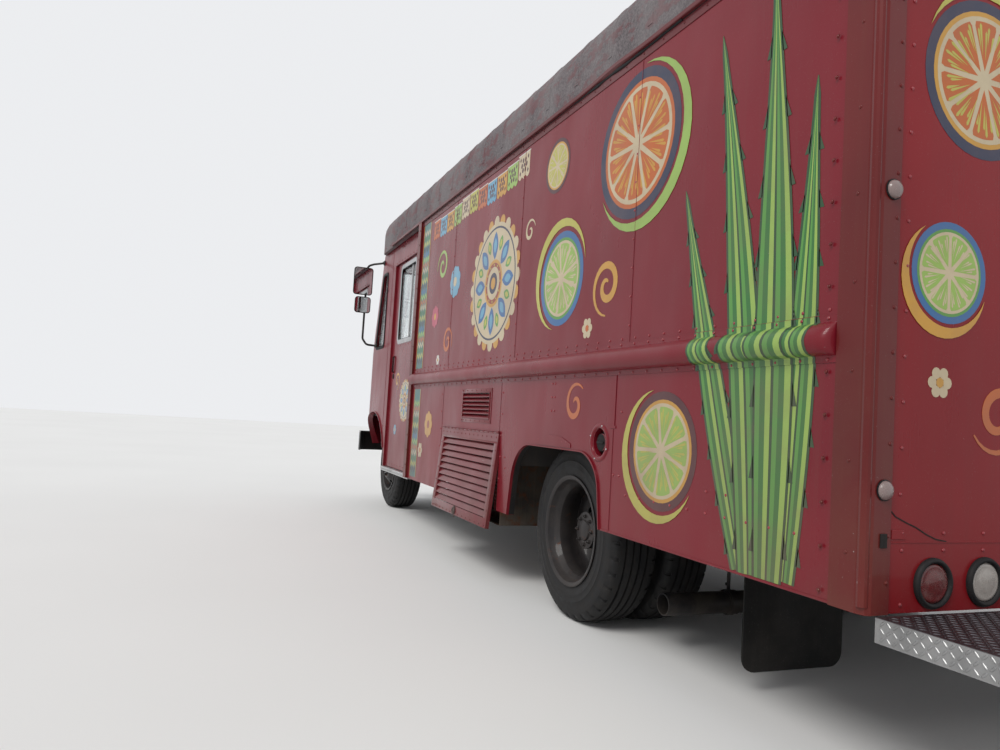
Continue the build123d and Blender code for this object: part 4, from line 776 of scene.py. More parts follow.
def lens_material(name, base, weight=0.5):
    # coloured lens plastic with fine moulded ribs, 2.4 mm apart, and a dusty film
    mat, tree, shader = principled(name, base, 0.12, Transmission_Weight=weight, IOR=1.49, Coat_Weight=0.4)
    ribbed = node(tree, "TexWave", {"wave_type": "BANDS", "bands_direction": "Y"}, Vector=in_metres(tree),
                  Scale=420 / 6.283)
    film = cloudy(tree, 30, 6, 0.4, 0.75)
    wire(tree, shader, Base_Color=tint(tree, times(tree, film, 0.35), base, (0.22, 0.19, 0.17)),
         Roughness=ranged(tree, film, 0, 1, 0.1, 0.42))
    bumped(tree, shader, (ribbed.outputs["Fac"], 0.35, 0.0008))
    return mat


head_glass = lens_material("headlamp_glass", (0.78, 0.79, 0.78), 0.35)
red_lens = lens_material("red_lens", (0.16, 0.003, 0.005), 0.35)
pale_lens = lens_material("pale_lens", (0.5, 0.46, 0.42), 0.25)
amber_lens = lens_material("amber_lens", (0.62, 0.2, 0.02))
bm, lens, amber = bmesh.new(), bmesh.new(), bmesh.new()
for s in (1, -1):
    for target, z, sides, profile in (
            (bm, 0.8, 40, [(0, 0.092), (0.012, 0.094), (0.018, 0.09), (0.02, 0.082), (0.014, 0.078)]),
            (lens, 0.8, 36, [(0.006, 0.079), (0.013, 0.076), (0.02, 0.055), (0.024, 0.028), (0.025, 0)]),
            (bm, 1.05, 28, [(0, 0.045), (0.006, 0.046), (0.01, 0.04)]),
            (amber, 1.05, 28, [(0.003, 0.04), (0.012, 0.036), (0.02, 0.022), (0.023, 0)])):
        lathe(target, (NOSE, s * 0.6, z), (1, 0, 0), profile, sides, False)
finish_piece(bm, "headlamp_rings", chrome)
finish_piece(lens, "headlamp_lenses", head_glass, 60)
finish_piece(amber, "front_turn_lenses", amber_lens, 60)

# ---- Cab doors
# Flat sliding doors with an aluminium sash whose corners are rounded, a black rubber seal, a bent pull over
# a round lock near the front edge, and rivets round the sash.
dress(body_paint, "cab_door_left", "cab_door_right")
sash = brushed("sash_aluminium", (0.55, 0.55, 0.55), 0.35, (1, 20, 20), dirt=0.6)


def rectangle(x0, x1, z0, z1, y, inset=0.0):
    return [(x0 + inset, y, z0 + inset), (x1 - inset, y, z0 + inset), (x1 - inset, y, z1 - inset),
            (x0 + inset, y, z1 - inset)]


x0, x1, z0, z1 = hole = (1.605, 2.125, 1.57, 2.26)
for side, s in (("left", 1), ("right", -1)):
    body = f"sliding_door_{side}"
    y = s * DOOR_SKIN
    bm = bmesh.new()
    sweep(bm, rounded_path(rectangle(*hole, y), 0.05, 6, True),
          [(-0.02, -0.003), (0.02, -0.003), (0.019, 0.003), (0.0, 0.0045), (-0.019, 0.003)], True, (0, s, 0))
    box(bm, x0 + 0.15, x0 + 0.17, s * 1.1 - 0.01, s * 1.1 + 0.01, z0 + 0.01, z1 - 0.01, 0.003)
    finish_piece(bm, f"door_sash_{side}", sash, body=body)
    bm = bmesh.new()
    sweep(bm, rounded_path(rectangle(*hole, y, 0.014), 0.036, 6, True), bar(0.009, 0.006, 0.002),
          True, (0, s, 0))
    sweep(bm, rounded_path([(2.19, s * 1.116, 1.3), (2.19, s * 1.1265, 1.3), (2.19, s * 1.1265, 1.44),
                            (2.19, s * 1.116, 1.44)], 0.01, 4), circle(0.0072, 10), up=(1, 0, 0))
    lathe(bm, (2.19, y, 1.26), (0, s, 0), [(0, 0.024), (0.003, 0.024), (0.005, 0.02), (0.005, 0.006)], 24)
    plates(bm, 0.001, (1.305, 1.318, y, s * 1.1182, 0.46, 2.285))
    finish_piece(bm, f"door_seal_and_pull_{side}", seal_black, body=body)
    places = []
    for xs, zs in (((x0 - 0.036, x1 + 0.036), steps(z0 + 0.03, 0.09, 8)),
                   (steps(x0 + 0.03, 0.092, 6), [z0 - 0.036]), (steps(1.335, 0.1, 10), [0.47])):
        places += spots(xs, [y], zs, (0, s, 0))
    studs(f"door_rivets_{side}", places, rivet_highlight_paint, 0.005, 0.0024, body)

# ---- Outside mirrors
# Black tube loops bolted to the cab by round cast feet. Each carries a tall flat glass over a small one, both
# in rounded black housings clamped to the tube.
mirror_black = painted("mirror_black", (0.012, 0.011, 0.012), 0.32, grime_top=4.0,
                       grime_amount=0.25, coat=0.3)
mirror_glass, tree, shader = principled("mirror_glass", (0.8, 0.82, 0.83), 0.03, 1.0)
wire(tree, shader, Roughness=cloudy(tree, 14, 5, 0.45, 0.8, 0.02, 0.12))
bm, glass = bmesh.new(), bmesh.new()
MIRROR_X = 2.925


def rounded_plate(x, y, z, wide, high, radius, turns=4):
    # a rounded rectangle square to the truck's length, by its middle and half sizes
    corners = ((-wide, -high), (wide, -high), (wide, high), (-wide, high))
    return rounded_path([(x, y + dy, z + dz) for dy, dz in corners], radius, turns, True)


for s in (1, -1):
    loop = [(MIRROR_X + dx, s * (CAB_SIDE + dy), z) for dx, dy, z in
            ((-0.14, 0.002, 2.41), (-0.05, 0.09, 2.402), (0, 0.145, 2.385), (0, 0.147, 1.65),
             (0, 0.105, 1.594), (0, 0.002, 1.59))]
    sweep(bm, rounded_path(loop, 0.05, 6), circle(0.0105, 14), up=(1, 0, 0))
    for x, z in ((MIRROR_X - 0.14, 2.41), (MIRROR_X, 1.59)):
        lathe(bm, (x, s * (CAB_SIDE + 0.0003), z), (0, s, 0),
              [(0, 0.026), (0.006, 0.026), (0.014, 0.016), (0.022, 0.013)], 20)
    for z0, z1, w0, w1 in ((2.085, 2.364, 0.087, 0.28), (1.905, 2.068, 0.095, 0.255)):
        y, z = s * (CAB_SIDE + (w0 + w1) / 2), (z0 + z1) / 2
        wide, high = (w1 - w0) / 2, (z1 - z0) / 2
        loft(bm, [rounded_plate(MIRROR_X + dx, y, z, wide * fill, high * (0.3 + 0.7 * fill), 0.03 * fill)
                  for dx, fill in ((-0.03, 1.0), (-0.026, 1.0), (-0.01, 0.97), (0.008, 0.86), (0.02, 0.62))])
        loft(glass, [rounded_plate(MIRROR_X + dx, y, z, wide - 0.008, high - 0.008, 0.024)
                     for dx in (-0.0305, -0.032)])
        lathe(bm, (MIRROR_X + 0.004, y, z - 0.03), (0, 0, 1), [(0, 0.018), (0.06, 0.018)], 14)
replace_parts(finish_piece(bm, "mirror_loops", mirror_black), "mirrors")
finish_piece(glass, "mirror_plates", mirror_glass, 30)

# ---- Louvred generator door and the vent above it
# A folded sheet frame hung on a piano hinge, riveted, with ten pressed blades whose lips are rolled; an iron
# ring pull on a round plate sits at the bottom. The door hangs a little open over the generator.
def run_x(bm, outline, x0, x1):
    # a prism along x from an outline in the other two directions
    loft(bm, [[(x, a, b) for a, b in outline] for x in (x0, x1)])


def blade(v, depth, reach):
    # a pressed louvre: from its root, out and down to a rolled lip
    lip = v + reach
    return [(v, -depth), (lip - 0.005, -0.0015), (lip, -0.0015), (lip + 0.0008, -0.007),
            (lip - 0.001, -0.007), (lip - 0.0016, -0.0034), (lip - 0.0048, -0.0033), (v, -depth - 0.0015)]


def edging(x0, x1, z0, z1, wide, lap=0.0):
    # four strips (x0, x1, z0, z1) round an opening, the uprights between the level ones
    return [(x0, x1, z0, z0 + wide), (x0, x1, z1 - wide, z1),
            (x0, x0 + wide, z0 + wide - lap, z1 - wide + lap),
            (x1 - wide, x1, z0 + wide - lap, z1 - wide + lap)]


TILT = radians(5.6)
door_out = Vector((0, cos(TILT), sin(TILT)))
door_frame = Matrix.Translation((0, 1.181, 0.852)) @ Matrix(
    (Vector((1, 0, 0)), Vector((0, sin(TILT), -cos(TILT))), door_out)).transposed().to_4x4()
door_paint = painted("generator_door_paint", (0.14, 0.01, 0.016), 0.3, grime=(0.14, 0.1, 0.085),
                     grime_top=1.1, grime_amount=0.55, coat=0.35, chips=1.2, ripple=0.002, fade=0.2)
X0, X1, V1, RIM = -0.715, 0.343, 0.537, 0.055
bm = bmesh.new()
boxes(bm, 0.0012, *((*strip, -0.003, 0.0) for strip in (
    (X0, X1, 0.006, 0.062), (X0, X1, V1 - RIM, V1), (X0, X0 + RIM, 0.06, V1 - RIM + 0.002),
    (X1 - RIM, X1, 0.06, V1 - RIM + 0.002))))
plates(bm, 0.0008, *((*strip, -0.023, -0.001) for strip in (
    (X0, X0 + 0.002, 0.006, V1), (X1 - 0.002, X1, 0.006, V1), (X0, X1, V1 - 0.002, V1),
    (X0 + RIM - 0.002, X0 + RIM, 0.06, V1 - RIM), (X1 - RIM, X1 - RIM + 0.002, 0.06, V1 - RIM))))
for v in steps(0.064, 0.042, 10):
    run_x(bm, blade(v, 0.019, 0.037), X0 + RIM - 0.001, X1 - RIM + 0.001)
for x in steps(X0 + 0.001, 0.0756, 14):
    lathe(bm, (x, 0, 0), (1, 0, 0), [(0, 0.0052), (0.001, 0.0058), (0.0725, 0.0058), (0.0735, 0.0052)], 14)
plates(bm, 0.0006, (X0, X1, 0.002, 0.05, 0.0002, 0.0016))
bmesh.ops.transform(bm, matrix=door_frame, verts=bm.verts)
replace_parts(finish_piece(bm, "generator_door_sheet", door_paint, 32, "generator_flap"),
            "generator_door")
bm = bmesh.new()
middle = (X0 + X1) / 2 + 0.04
lathe(bm, (middle, V1 - 0.03, 0.0), (0, 0, 1), [(0, 0.026), (0.003, 0.026), (0.004, 0.022), (0.004, 0.0)], 24)
sweep(bm, [(middle + 0.021 * cos(a), V1 - 0.024 + 0.021 * sin(a), 0.0075) for a in around(24)],
      circle(0.0026, 8), True)
box(bm, middle - 0.01, middle + 0.01, V1 - 0.052, V1 - 0.04, 0.001, 0.009, 0.002)
box(bm, middle - 0.006, middle + 0.006, V1 - 0.004, V1 + 0.016, -0.006, -0.002, 0.001)
bmesh.ops.transform(bm, matrix=door_frame, verts=bm.verts)
pull_iron = brushed("pull_iron", (0.17, 0.13, 0.12), 0.5, (3, 3, 3), dirt=0.7)
finish_piece(bm, "generator_door_pull", pull_iron, body="generator_flap")
places = (spots(steps(X0 + 0.03, 0.0768, 14), [0.026], [0.0016], door_out)
          + spots(steps(X0 + 0.03, 0.0768, 14), [V1 - 0.012], [0.0], door_out)
          + spots((X0 + 0.02, X1 - 0.02), steps(0.1, 0.085, 5), [0.0], door_out))
studs("generator_door_rivets", [(door_frame @ Vector(p), d) for p, d in places], door_paint,
      0.0052, 0.0026, "generator_flap")

bm = bmesh.new()
VX0, VX1, VZ0, VZ1 = -0.555, -0.015, 0.9, 1.11
boxes(bm, 0.001,
      *((a, b, SIDE, SIDE + 0.003, c, d) for a, b, c, d in edging(VX0, VX1, VZ0, VZ1, 0.028, 0.0005)))
plates(bm, 0.001, *((a, b, SIDE - 0.018, SIDE + 0.0078, c, d) for a, b, c, d in
                    edging(VX0 + 0.024, VX1 - 0.024, VZ0 + 0.024, VZ1 - 0.024, 0.004, 0.0005)))
for v in steps(0.002, 0.0255, 6):
    run_x(bm, [(SIDE + 0.007 + w, VZ1 - 0.028 - z) for z, w in blade(v, 0.022, 0.024)],
          VX0 + 0.026, VX1 - 0.026)
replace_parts(finish_piece(bm, "vent_louvres", door_paint, 32), "side_vent")
studs("vent_rivets",
      spots(steps(VX0 + 0.013, 0.0857, 7), [SIDE + 0.003], (VZ0 + 0.012, VZ1 - 0.012), (0, 1, 0))
      + spots((VX0 + 0.012, VX1 - 0.012), [SIDE + 0.003], steps(VZ0 + 0.06, 0.045, 3), (0, 1, 0)),
      door_paint, 0.0048, 0.0024)

# ---- Tail lamps and marker lamps
# Round lamps pushed into black rubber grommets, red outboard and clear inboard, with moulded plastic lenses.
# Faded domed markers sit on the corner posts in thin black rings.
bm, reds, pales, domes = (bmesh.new() for _ in range(4))
GROMMET = [(0.0, 0.067), (0.006, 0.0672), (0.0125, 0.0635), (0.014, 0.059), (0.012, 0.0545), (0.006, 0.052),
           (0.0, 0.0515)]
LENS = [(0.004, 0.0518), (0.0072, 0.05), (0.0085, 0.044), (0.008, 0.042), (0.01, 0.03), (0.0106, 0.0)]
POST_X = -3.2885
for s in (1, -1):
    for y, target in ((0.938, reds), (0.745, pales)):
        lathe(bm, (REAR, s * y, 0.569), BACK, GROMMET, 48, False)
        lathe(target, (REAR, s * y, 0.569), BACK, LENS, 40, False)
    for z in (1.59, 0.81):
        lathe(bm, (POST_X, s * 1.13, z), BACK, [(0.0, 0.0275), (0.003, 0.0275), (0.004, 0.0245)], 28, False)
        lathe(domes, (POST_X, s * 1.13, z), BACK,
              [(0.002, 0.025), (0.007, 0.024), (0.012, 0.02), (0.016, 0.012), (0.0175, 0.0)], 28, False)
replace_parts(finish_piece(bm, "lamp_grommets", seal_black, 45), "lamps")
marker_lens = lens_material("marker_lens", (0.28, 0.2, 0.19), 0.2)
for lens, name, mat in ((reds, "tail", red_lens), (pales, "reverse", pale_lens),
                        (domes, "marker", marker_lens)):
    finish_piece(lens, name + "_lenses", mat, 50)

# ---- Rear step
# Bright diamond plate turned down at its edges, bolted on two arms. Its top is worn smooth and darkened by a
# painted reflection of a dark sky, and its raised lozenges keep their shine on the edges.
plate = brushed("tread_plate", (0.38, 0.38, 0.38), 0.42, (3, 3, 9), dirt=0.9, dents=0.002)
tree = plate.node_tree
shader = tree.nodes["Principled BSDF"]
# the top turns a dark purple grey: partly wear, partly a painted reflection of a dark sky
worn_top_and_painted_reflection = times(tree, ranged(tree, height_of(tree), 0.4905, 0.4925), cloudy(tree, 4, 6, 0.2, 0.6, 0.8, 0.96))
wire(tree, shader, Base_Color=tint(tree, worn_top_and_painted_reflection, shader.inputs["Base Color"].links[0].from_socket,
                                   (0.085, 0.075, 0.085)))
dress(plate, "rear_step")


def lozenge(tree, source):
    cone = node(tree, "GeometryNodeMeshCone", Vertices=8, Side_Segments=1, Radius_Bottom=0.5, Radius_Top=0.26,
                Depth=0.13).outputs["Mesh"]
    length = source["Length"]
    return {"Instance": node(tree, "GeometryNodeTransform", Geometry=cone, Scale=(1.0, 0.32, 0.6)).outputs[0],
            "Scale": node(tree, "CombineXYZ", X=length, Y=length, Z=length).outputs["Vector"]}


points, outs, lies = [], [], []
PITCH_M = 0.0192
for origin, side, along, out, wide, long in [
        ((-3.67, -1.144, 0.4932), (1, 0, 0), (0, 1, 0), (0, 0, 1), 0.374, 2.288),
        ((-3.6752, -1.146, 0.4332), (0, 0, 1), (0, 1, 0), (-1, 0, 0), 0.058, 2.292)] + [
        ((-3.668, s * 1.1502, 0.4332), (0, 0, 1), (1, 0, 0), (0, s, 0), 0.058, 0.372) for s in (1, -1)]:
    # alternating lozenges, each square to its neighbours
    side, along = Vector(side), Vector(along)
    for i in range(int(long / PITCH_M)):
        for j in range(int(wide / PITCH_M)):
            points.append(Vector(origin) + along * (i + 0.5) * PITCH_M + side * (j + 0.5) * PITCH_M)
            outs.append(out)
            lies.append((along + side * (1 if (i + j) % 2 else -1)).normalized())
scatter("step_lozenges", points, [("out", "Z", outs), ("lie", "X", lies)], lozenge, {"Length": 0.0225}, plate,
        "truck")
studs("step_bolts", spots([-3.6754], (-0.96, -0.62, -0.396, 0.396, 0.62, 0.96), [0.462], BACK), plate,
      0.01, 0.006, sides=10)

# ---- Rear door
# One leaf with two pressed fields, hung on three hinges at its left edge, with a lock and its plate at the
# right.
bm = bmesh.new()
for z, high in ((1.175, 0.325), (1.865, 0.285)):
    sweep(bm, rounded_plate(-3.2765, 0, z, 0.365, high, 0.05, 5),
          bar(0.007, 0.0008, 0.003, 0.004), True, BACK)
finish_piece(bm, "rear_door_beads", rear_paint, body="back_door")
bm = bmesh.new()
box(bm, -3.2785, -3.2752, -0.4, -0.33, 1.225, 1.475, 0.003)
box(bm, -3.287, -3.2785, -0.392, -0.352, 1.06, 1.13, 0.004)
lathe(bm, (-3.287, -0.372, 1.095), BACK, [(0, 0.014), (0.006, 0.013), (0.007, 0.0)], 20)
finish_piece(bm, "rear_door_lock", sash, body="back_door")
studs("rear_door_rivets", spots([RIVET_X], (0.4, -0.4), steps(0.8, 0.11, 14), BACK)
      + spots([-3.2822], [0.412], [z + d for z in (0.92, 1.52, 2.12) for d in (0, 0.035, 0.07)], BACK),
      rear_paint, 0.005, 0.0026, "back_door")

# ---- Serving hatch and its frame
# A framed panel on a long hinge over the serving window, stiffened behind, with two slam latches; the window
# has a folded trim and a sill.
HATCH_Y = -1.208
studs("hatch_rivets", spots(steps(-1.28, 0.1005, 23), [HATCH_Y - 0.0002], (1.352, 2.19), (0, -1, 0))
      + spots((-1.285, 0.935), [HATCH_Y - 0.0002], steps(1.4, 0.093, 9), (0, -1, 0)),
      body_paint, 0.0058, 0.003, "hatch")
bm = bmesh.new()
for x in (-1.0, 0.65):
    boxes(bm, 0.002, (x - 0.035, x + 0.035, -1.2112, -1.2078, 1.362, 1.412),
          (x - 0.005, x + 0.005, -1.222, -1.2135, 1.374, 1.4))
    lathe(bm, (x, -1.211, 1.387), (0, -1, 0), [(0, 0.013), (0.006, 0.011), (0.007, 0.0)], 18)
finish_piece(bm, "hatch_latches", sash, body="hatch")
bm = bmesh.new()
plates(bm, 0.001, (-1.3, 0.95, -1.1945, -1.1895, 1.3365, 1.3525))
boxes(bm, 0.002, *((x - 0.01, x + 0.01, -1.203, -1.18, 1.36, 2.15) for x in (-1.255, 0.905)),
      *((-1.25, 0.9, -1.203, -1.195, z - 0.012, z + 0.012) for z in (1.62, 1.9)))
finish_piece(bm, "hatch_stiffeners", aluminium, body="hatch")
bm = bmesh.new()
plates(bm, 0.001, *((x0, x1, -1.179, -1.1748, z0, z1) for x0, x1, z0, z1 in (
    (-1.29, -1.275, 1.345, 2.185), (0.925, 0.94, 1.345, 2.185), (-1.29, 0.94, 1.345, 1.36),
    (-1.29, 0.94, 2.17, 2.185))))
box(bm, -1.275, 0.925, -1.175, -1.13, 1.3602, 1.366, 0.001)
finish_piece(bm, "window_trim", aluminium)

# ---- Roof fan
# An exhaust fan under a spun galvanised hood, which stands over a square kerb of folded sheet with an air gap
# under its brim.
galvanised = brushed("galvanised", (0.52, 0.53, 0.54), 0.45, (2, 2, 2), dirt=0.4, dents=0.003)
bm = bmesh.new()
FX, FY = -1.45, 0.56
box(bm, FX - 0.25, FX + 0.25, FY - 0.25, FY + 0.25, 2.868, 2.945, 0.01)
box(bm, FX - 0.262, FX + 0.262, FY - 0.262, FY + 0.262, 2.935, 2.945, 0.002)
lathe(bm, (FX, FY, 2.945), (0, 0, 1), [(0, 0.2), (0.018, 0.2)], 36)
lathe(bm, (FX, FY, 2.958), (0, 0, 1),
      [(0, 0.205), (0, 0.279), (0.004, 0.28), (0.01, 0.272), (0.03, 0.262), (0.055, 0.235), (0.074, 0.18),
       (0.084, 0.1), (0.088, 0.03), (0.0895, 0)], 48)
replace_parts(finish_piece(bm, "fan_hood", galvanised, 35), "roof_fan")

# ---- Wheels
# Steel 19.5 in wheels, dark enamel gone dull and rusty, dished inwards at the rear; worn highway tyres with
# four ribs, shoulder slots and moulded rings on their sidewalls.
tyre_rubber, tree, shader = principled("tyre_rubber", (0.016, 0.016, 0.017), 0.7, Specular_IOR_Level=0.25)
dust = times(tree, cloudy(tree, 16, 7, 0.4, 0.75, rough=0.7), 0.55)
wire(tree, shader, Base_Color=tint(tree, dust, (0.011, 0.011, 0.012), (0.044, 0.04, 0.036)),
     Roughness=ranged(tree, dust, 0, 0.5, 0.55, 0.88))
bumped(tree, shader, (noise(tree, 300, 3), 0.3, 0.0003), (noise(tree, 24, 4), 0.2, 0.0008))
rim_paint = painted("rim_paint", (0.02, 0.018, 0.019), 0.36, grime=(0.09, 0.075, 0.065), grime_top=1.2,
                    grime_amount=0.35, rust=0.2, coat=0.15, fade=0.05)
REAR_X = -1.425
SIDEWALL = [(0.108, 0.253), (0.117, 0.26), (0.119, 0.268), (0.118, 0.272), (0.1215, 0.279), (0.1225, 0.3),
            (0.1232, 0.302), (0.1222, 0.3045), (0.1225, 0.33), (0.1232, 0.332), (0.1205, 0.335),
            (0.1195, 0.36), (0.116, 0.385), (0.1152, 0.3868)]
SLOTTED = [(0.1085, 0.399), (0.101, 0.41), (0.093, 0.415), (0.083, 0.4165)]
TREAD = [(0.0812, 0.4167), (0.06, 0.418), (0.058, 0.407), (0.05, 0.407), (0.048, 0.419), (0.023, 0.4198),
         (0.021, 0.408), (0.013, 0.408), (0.011, 0.42)]


def tyre(bm, x, y, pitches=36):
    # the section mirrored about the middle, revolved, with square slots 7 mm deep across the shoulders
    rows = [(a, r, 0.007 * (part is SLOTTED)) for part in (SIDEWALL, SLOTTED, TREAD) for a, r in part]
    rows += [(-a, r, slot) for a, r, slot in reversed(rows)]
    turns = [((i + part) * 2 * pi / pitches, cut) for i in range(pitches)
             for part, cut in ((0.0, 0), (0.38, 0), (0.76, 0), (0.8, 1), (0.96, 1))]
    loft(bm, [[(x + (r - slot * cut) * cos(t), y + a, WHEEL_Z + (r - slot * cut) * sin(t))
               for t, cut in turns] for a, r, slot in rows], ends=False)


def bored(whole, form, cutters):
    # cut holes out of a closed form and add what is left to the whole
    parts = []
    for bm in (form, cutters):
        bmesh.ops.remove_doubles(bm, verts=bm.verts, dist=0.00005)
        bmesh.ops.recalc_face_normals(bm, faces=bm.faces)
        parts.append(put("part", bpy.data.meshes.new("part")))
        bm.to_mesh(parts[-1].data)
        bm.free()
    modifier = parts[0].modifiers.new("holes", "BOOLEAN")
    modifier.object, modifier.solver = parts[1], "EXACT"
    left = evaluated(parts[0])
    whole.from_mesh(left)
    for mesh in (left, parts[0].data, parts[1].data):
        bpy.data.meshes.remove(mesh)


DISC = [(0.036, 0.23), (0.058, 0.229), (0.078, 0.217), (0.104, 0.186), (0.124, 0.156), (0.136, 0.144),
        (0.14, 0.138), (0.14, 0.07), (0.1285, 0.07), (0.1285, 0.137), (0.125, 0.14), (0.112, 0.152),
        (0.092, 0.182), (0.066, 0.213), (0.05, 0.223), (0.036, 0.224), (0.036, 0.23)]
BAND = [(-0.1265, 0.252), (-0.1265, 0.261), (-0.124, 0.2635), (-0.1215, 0.261), (-0.118, 0.25),
        (-0.098, 0.244), (-0.08, 0.235), (-0.064, 0.22), (-0.02, 0.22), (-0.004, 0.234), (0.06, 0.237),
        (0.098, 0.244), (0.118, 0.25), (0.1215, 0.261), (0.124, 0.2635), (0.1265, 0.261), (0.1265, 0.252),
        (0.12, 0.2425), (0.096, 0.237), (0.056, 0.229), (0.004, 0.227), (-0.016, 0.213), (-0.0665, 0.213),
        (-0.069, 0.214), (-0.087, 0.23), (-0.096, 0.235), (-0.12, 0.2425), (-0.1265, 0.252)]
HUB = [(0, 0.096), (0.045, 0.096), (0.06, 0.102), (0.066, 0.102), (0.072, 0.094), (0.15, 0.088), (0.2, 0.084),
       (0.206, 0.088), (0.2165, 0.088), (0.2185, 0.082), (0.2185, 0.05), (0.2265, 0.046),
       (0.2315, 0.03), (0.2325, 0)]


def wheel_disc(name, body, x, wheels):
    # wheels are (middle y, side its bolting face looks to); a pressed rim and a dished disc with hand holes
    bm = bmesh.new()
    for y, face in wheels:
        disc, cut = bmesh.new(), bmesh.new()
        lathe(disc, (x, y, WHEEL_Z), (0, face, 0), DISC, 72, False)
        for t in around(8, pi / 8):
            spot = Vector((x + 0.186 * cos(t), y + face * 0.098, WHEEL_Z + 0.186 * sin(t)))
            outward = Vector((cos(t) * 0.62, face * 0.78, sin(t) * 0.62))
            lathe(cut, spot - outward * 0.06, outward, [(0, 0.0255), (0.12, 0.0255)], 16)
        bored(bm, disc, cut)
        lathe(bm, (x, y, WHEEL_Z), (0, face, 0), BAND, 72, False)
    return finish_piece(bm, name, rim_paint, 35, body, merge=0.00005)


def nuts(bm, x, y, face, radius, size, high):
    for t in around(8):
        spot = (x + radius * cos(t), y, WHEEL_Z + radius * sin(t))
        lathe(bm, spot, (0, face, 0), [(0, size * 1.25), (0.003, size * 1.25), (0.003, size), (high, size),
                                       (high + 0.002, size * 0.8)], 6)
        lathe(bm, spot, (0, face, 0), [(high, size * 0.5), (high + 0.008, size * 0.45)], 8)


for side, s in (("left", 1), ("right", -1)):
    body = f"rear_wheels_{side}"
    bm = bmesh.new()
    for offset in (-0.14, 0.14):
        tyre(bm, REAR_X, s * 0.8075 + offset)
    rubber = finish_piece(bm, f"rear_tyre_pair_{side}", tyre_rubber, 50, body)
    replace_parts(rubber, f"rear_tyres_{side}")
    disc = wheel_disc(f"rear_disc_pair_{side}", body, REAR_X, [(s * 0.9475, -s), (s * 0.6675, s)])
    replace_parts(disc, f"rear_rims_{side}")
    bm = bmesh.new()
    lathe(bm, (REAR_X, s * 0.5995, WHEEL_Z), (0, s, 0),
          [(0, 0.172), (0, 0.185), (0.19, 0.185), (0.202, 0.14)], 48, False)
    lathe(bm, (REAR_X, s * 0.7675, WHEEL_Z), (0, s, 0), HUB, 40, False)
    nuts(bm, REAR_X, s * 0.819, s, 0.118, 0.0145, 0.022)
    nuts(bm, REAR_X, s * 0.986, s, 0.068, 0.0085, 0.008)
    finish_piece(bm, f"rear_hub_{side}", rim_paint, 38, body)
    body = f"front_wheel_{side}"
    bm = bmesh.new()
    tyre(bm, FRONT_X, s * 0.8275)
    rubber = finish_piece(bm, f"front_tyre_tread_{side}", tyre_rubber, 50, body)
    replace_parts(rubber, f"front_tyre_{side}")
    disc = wheel_disc(f"front_disc_{side}", body, FRONT_X, [(s * 0.8275, s)])
    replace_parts(disc, f"front_rim_{side}")
    bm = bmesh.new()
    lathe(bm, (FRONT_X, s * 0.7325, WHEEL_Z), (0, s, 0),
          [(0, 0.072), (0.2, 0.072), (0.232, 0.07), (0.24, 0.062), (0.244, 0.052), (0.249, 0.048), (0.25, 0)],
          36, False)
    nuts(bm, FRONT_X, s * 0.9675, s, 0.106, 0.0145, 0.018)
    finish_piece(bm, f"front_hub_{side}", rim_paint, 38, body)

# ---- Inner lining and ceiling
# White moulded sheet glued to the inside of the walls and under the roof, with aluminium strips over its
# joints, and a slotted square of strips under the roof fan.
lining = painted("wall_lining", (0.62, 0.61, 0.58), 0.42, grime=(0.3, 0.24, 0.17), grime_top=2.6,
                 grime_amount=0.35, fade=0.05)
bm = bmesh.new()
INSIDE, THIN, REAR_IN, CAB_IN = 1.1345, 0.0025, -3.2345, 1.238
plates(bm, 0.0005, *((x0, x1, y, y - copysign(THIN, y), z0, z1) for y, x0, x1, z0, z1 in (
    (INSIDE, REAR_IN, CAB_IN, 0.905, 2.478), (-INSIDE, REAR_IN, -1.305, 0.905, 2.478),
    (-INSIDE, 0.955, CAB_IN, 0.905, 2.478), (-INSIDE, -1.305, 0.955, 0.905, 1.335),
    (-INSIDE, -1.305, 0.955, 2.215, 2.478))),
    *((REAR_IN, REAR_IN + THIN, y0, y1, z0, 2.478) for y0, y1, z0 in (
        (0.432, INSIDE, 0.905), (-INSIDE, -0.432, 0.905), (-0.432, 0.432, 2.312))),
    *((x0, x1, y0, y1, 2.4755, 2.478) for x0, x1, y0, y1 in (
        (REAR_IN, -1.64, -INSIDE, INSIDE), (-1.26, CAB_IN, -INSIDE, INSIDE), (-1.64, -1.26, -INSIDE, 0.37),
        (-1.64, -1.26, 0.75, INSIDE))))
finish_piece(bm, "wall_lining_sheets", lining, 35)
bm = bmesh.new()
plates(bm, 0.0008, *((x - 0.02, x + 0.02, INSIDE - THIN, INSIDE - THIN - 0.002, 0.91, 2.47) for x in
                     (-2.0, -0.78, 0.44)))
for s in (1, -1):
    plates(bm, 0.002, (REAR_IN, CAB_IN, s * INSIDE, s * (INSIDE - 0.014), 2.462, 2.478),
           (REAR_IN, REAR_IN + 0.014, s * 0.44, s * 0.454, 0.905, 2.478))
plates(bm, 0.0006, *((x - 0.02, x + 0.02, -INSIDE, INSIDE, 2.4735, 2.4757) for x in (-2.42, -0.78, 0.22)))
plates(bm, 0.001, *((-1.645, -1.255, y, y + 0.008, 2.47, 2.474) for y in steps(0.376, 0.03, 13)),
       *((x - 0.014, x + 0.014, 0.345, 0.775, 2.47, 2.4757) for x in (-1.655, -1.245)),
       *((-1.6405, -1.2595, y - 0.014, y + 0.014, 2.47, 2.4757) for y in (0.355, 0.765)))
finish_piece(bm, "lining_strips", aluminium, 35)
bm = bmesh.new()
for s in (1, -1):
    plates(bm, 0.002, (-3.2344, -3.229, s * 0.41, s * 0.4318, 0.728, 2.299))
    plates(bm, 0.001, (2.5, 3.15, s * 1.089, s * 1.0935, 0.9005, 0.972))
plates(bm, 0.002,
       *((-3.234, -3.2294, -0.4105, 0.4105, z0, z1) for z0, z1 in ((0.7265, 0.74), (2.288, 2.3105))))
finish_piece(bm, "door_and_shelf_seals", seal_black, 35)

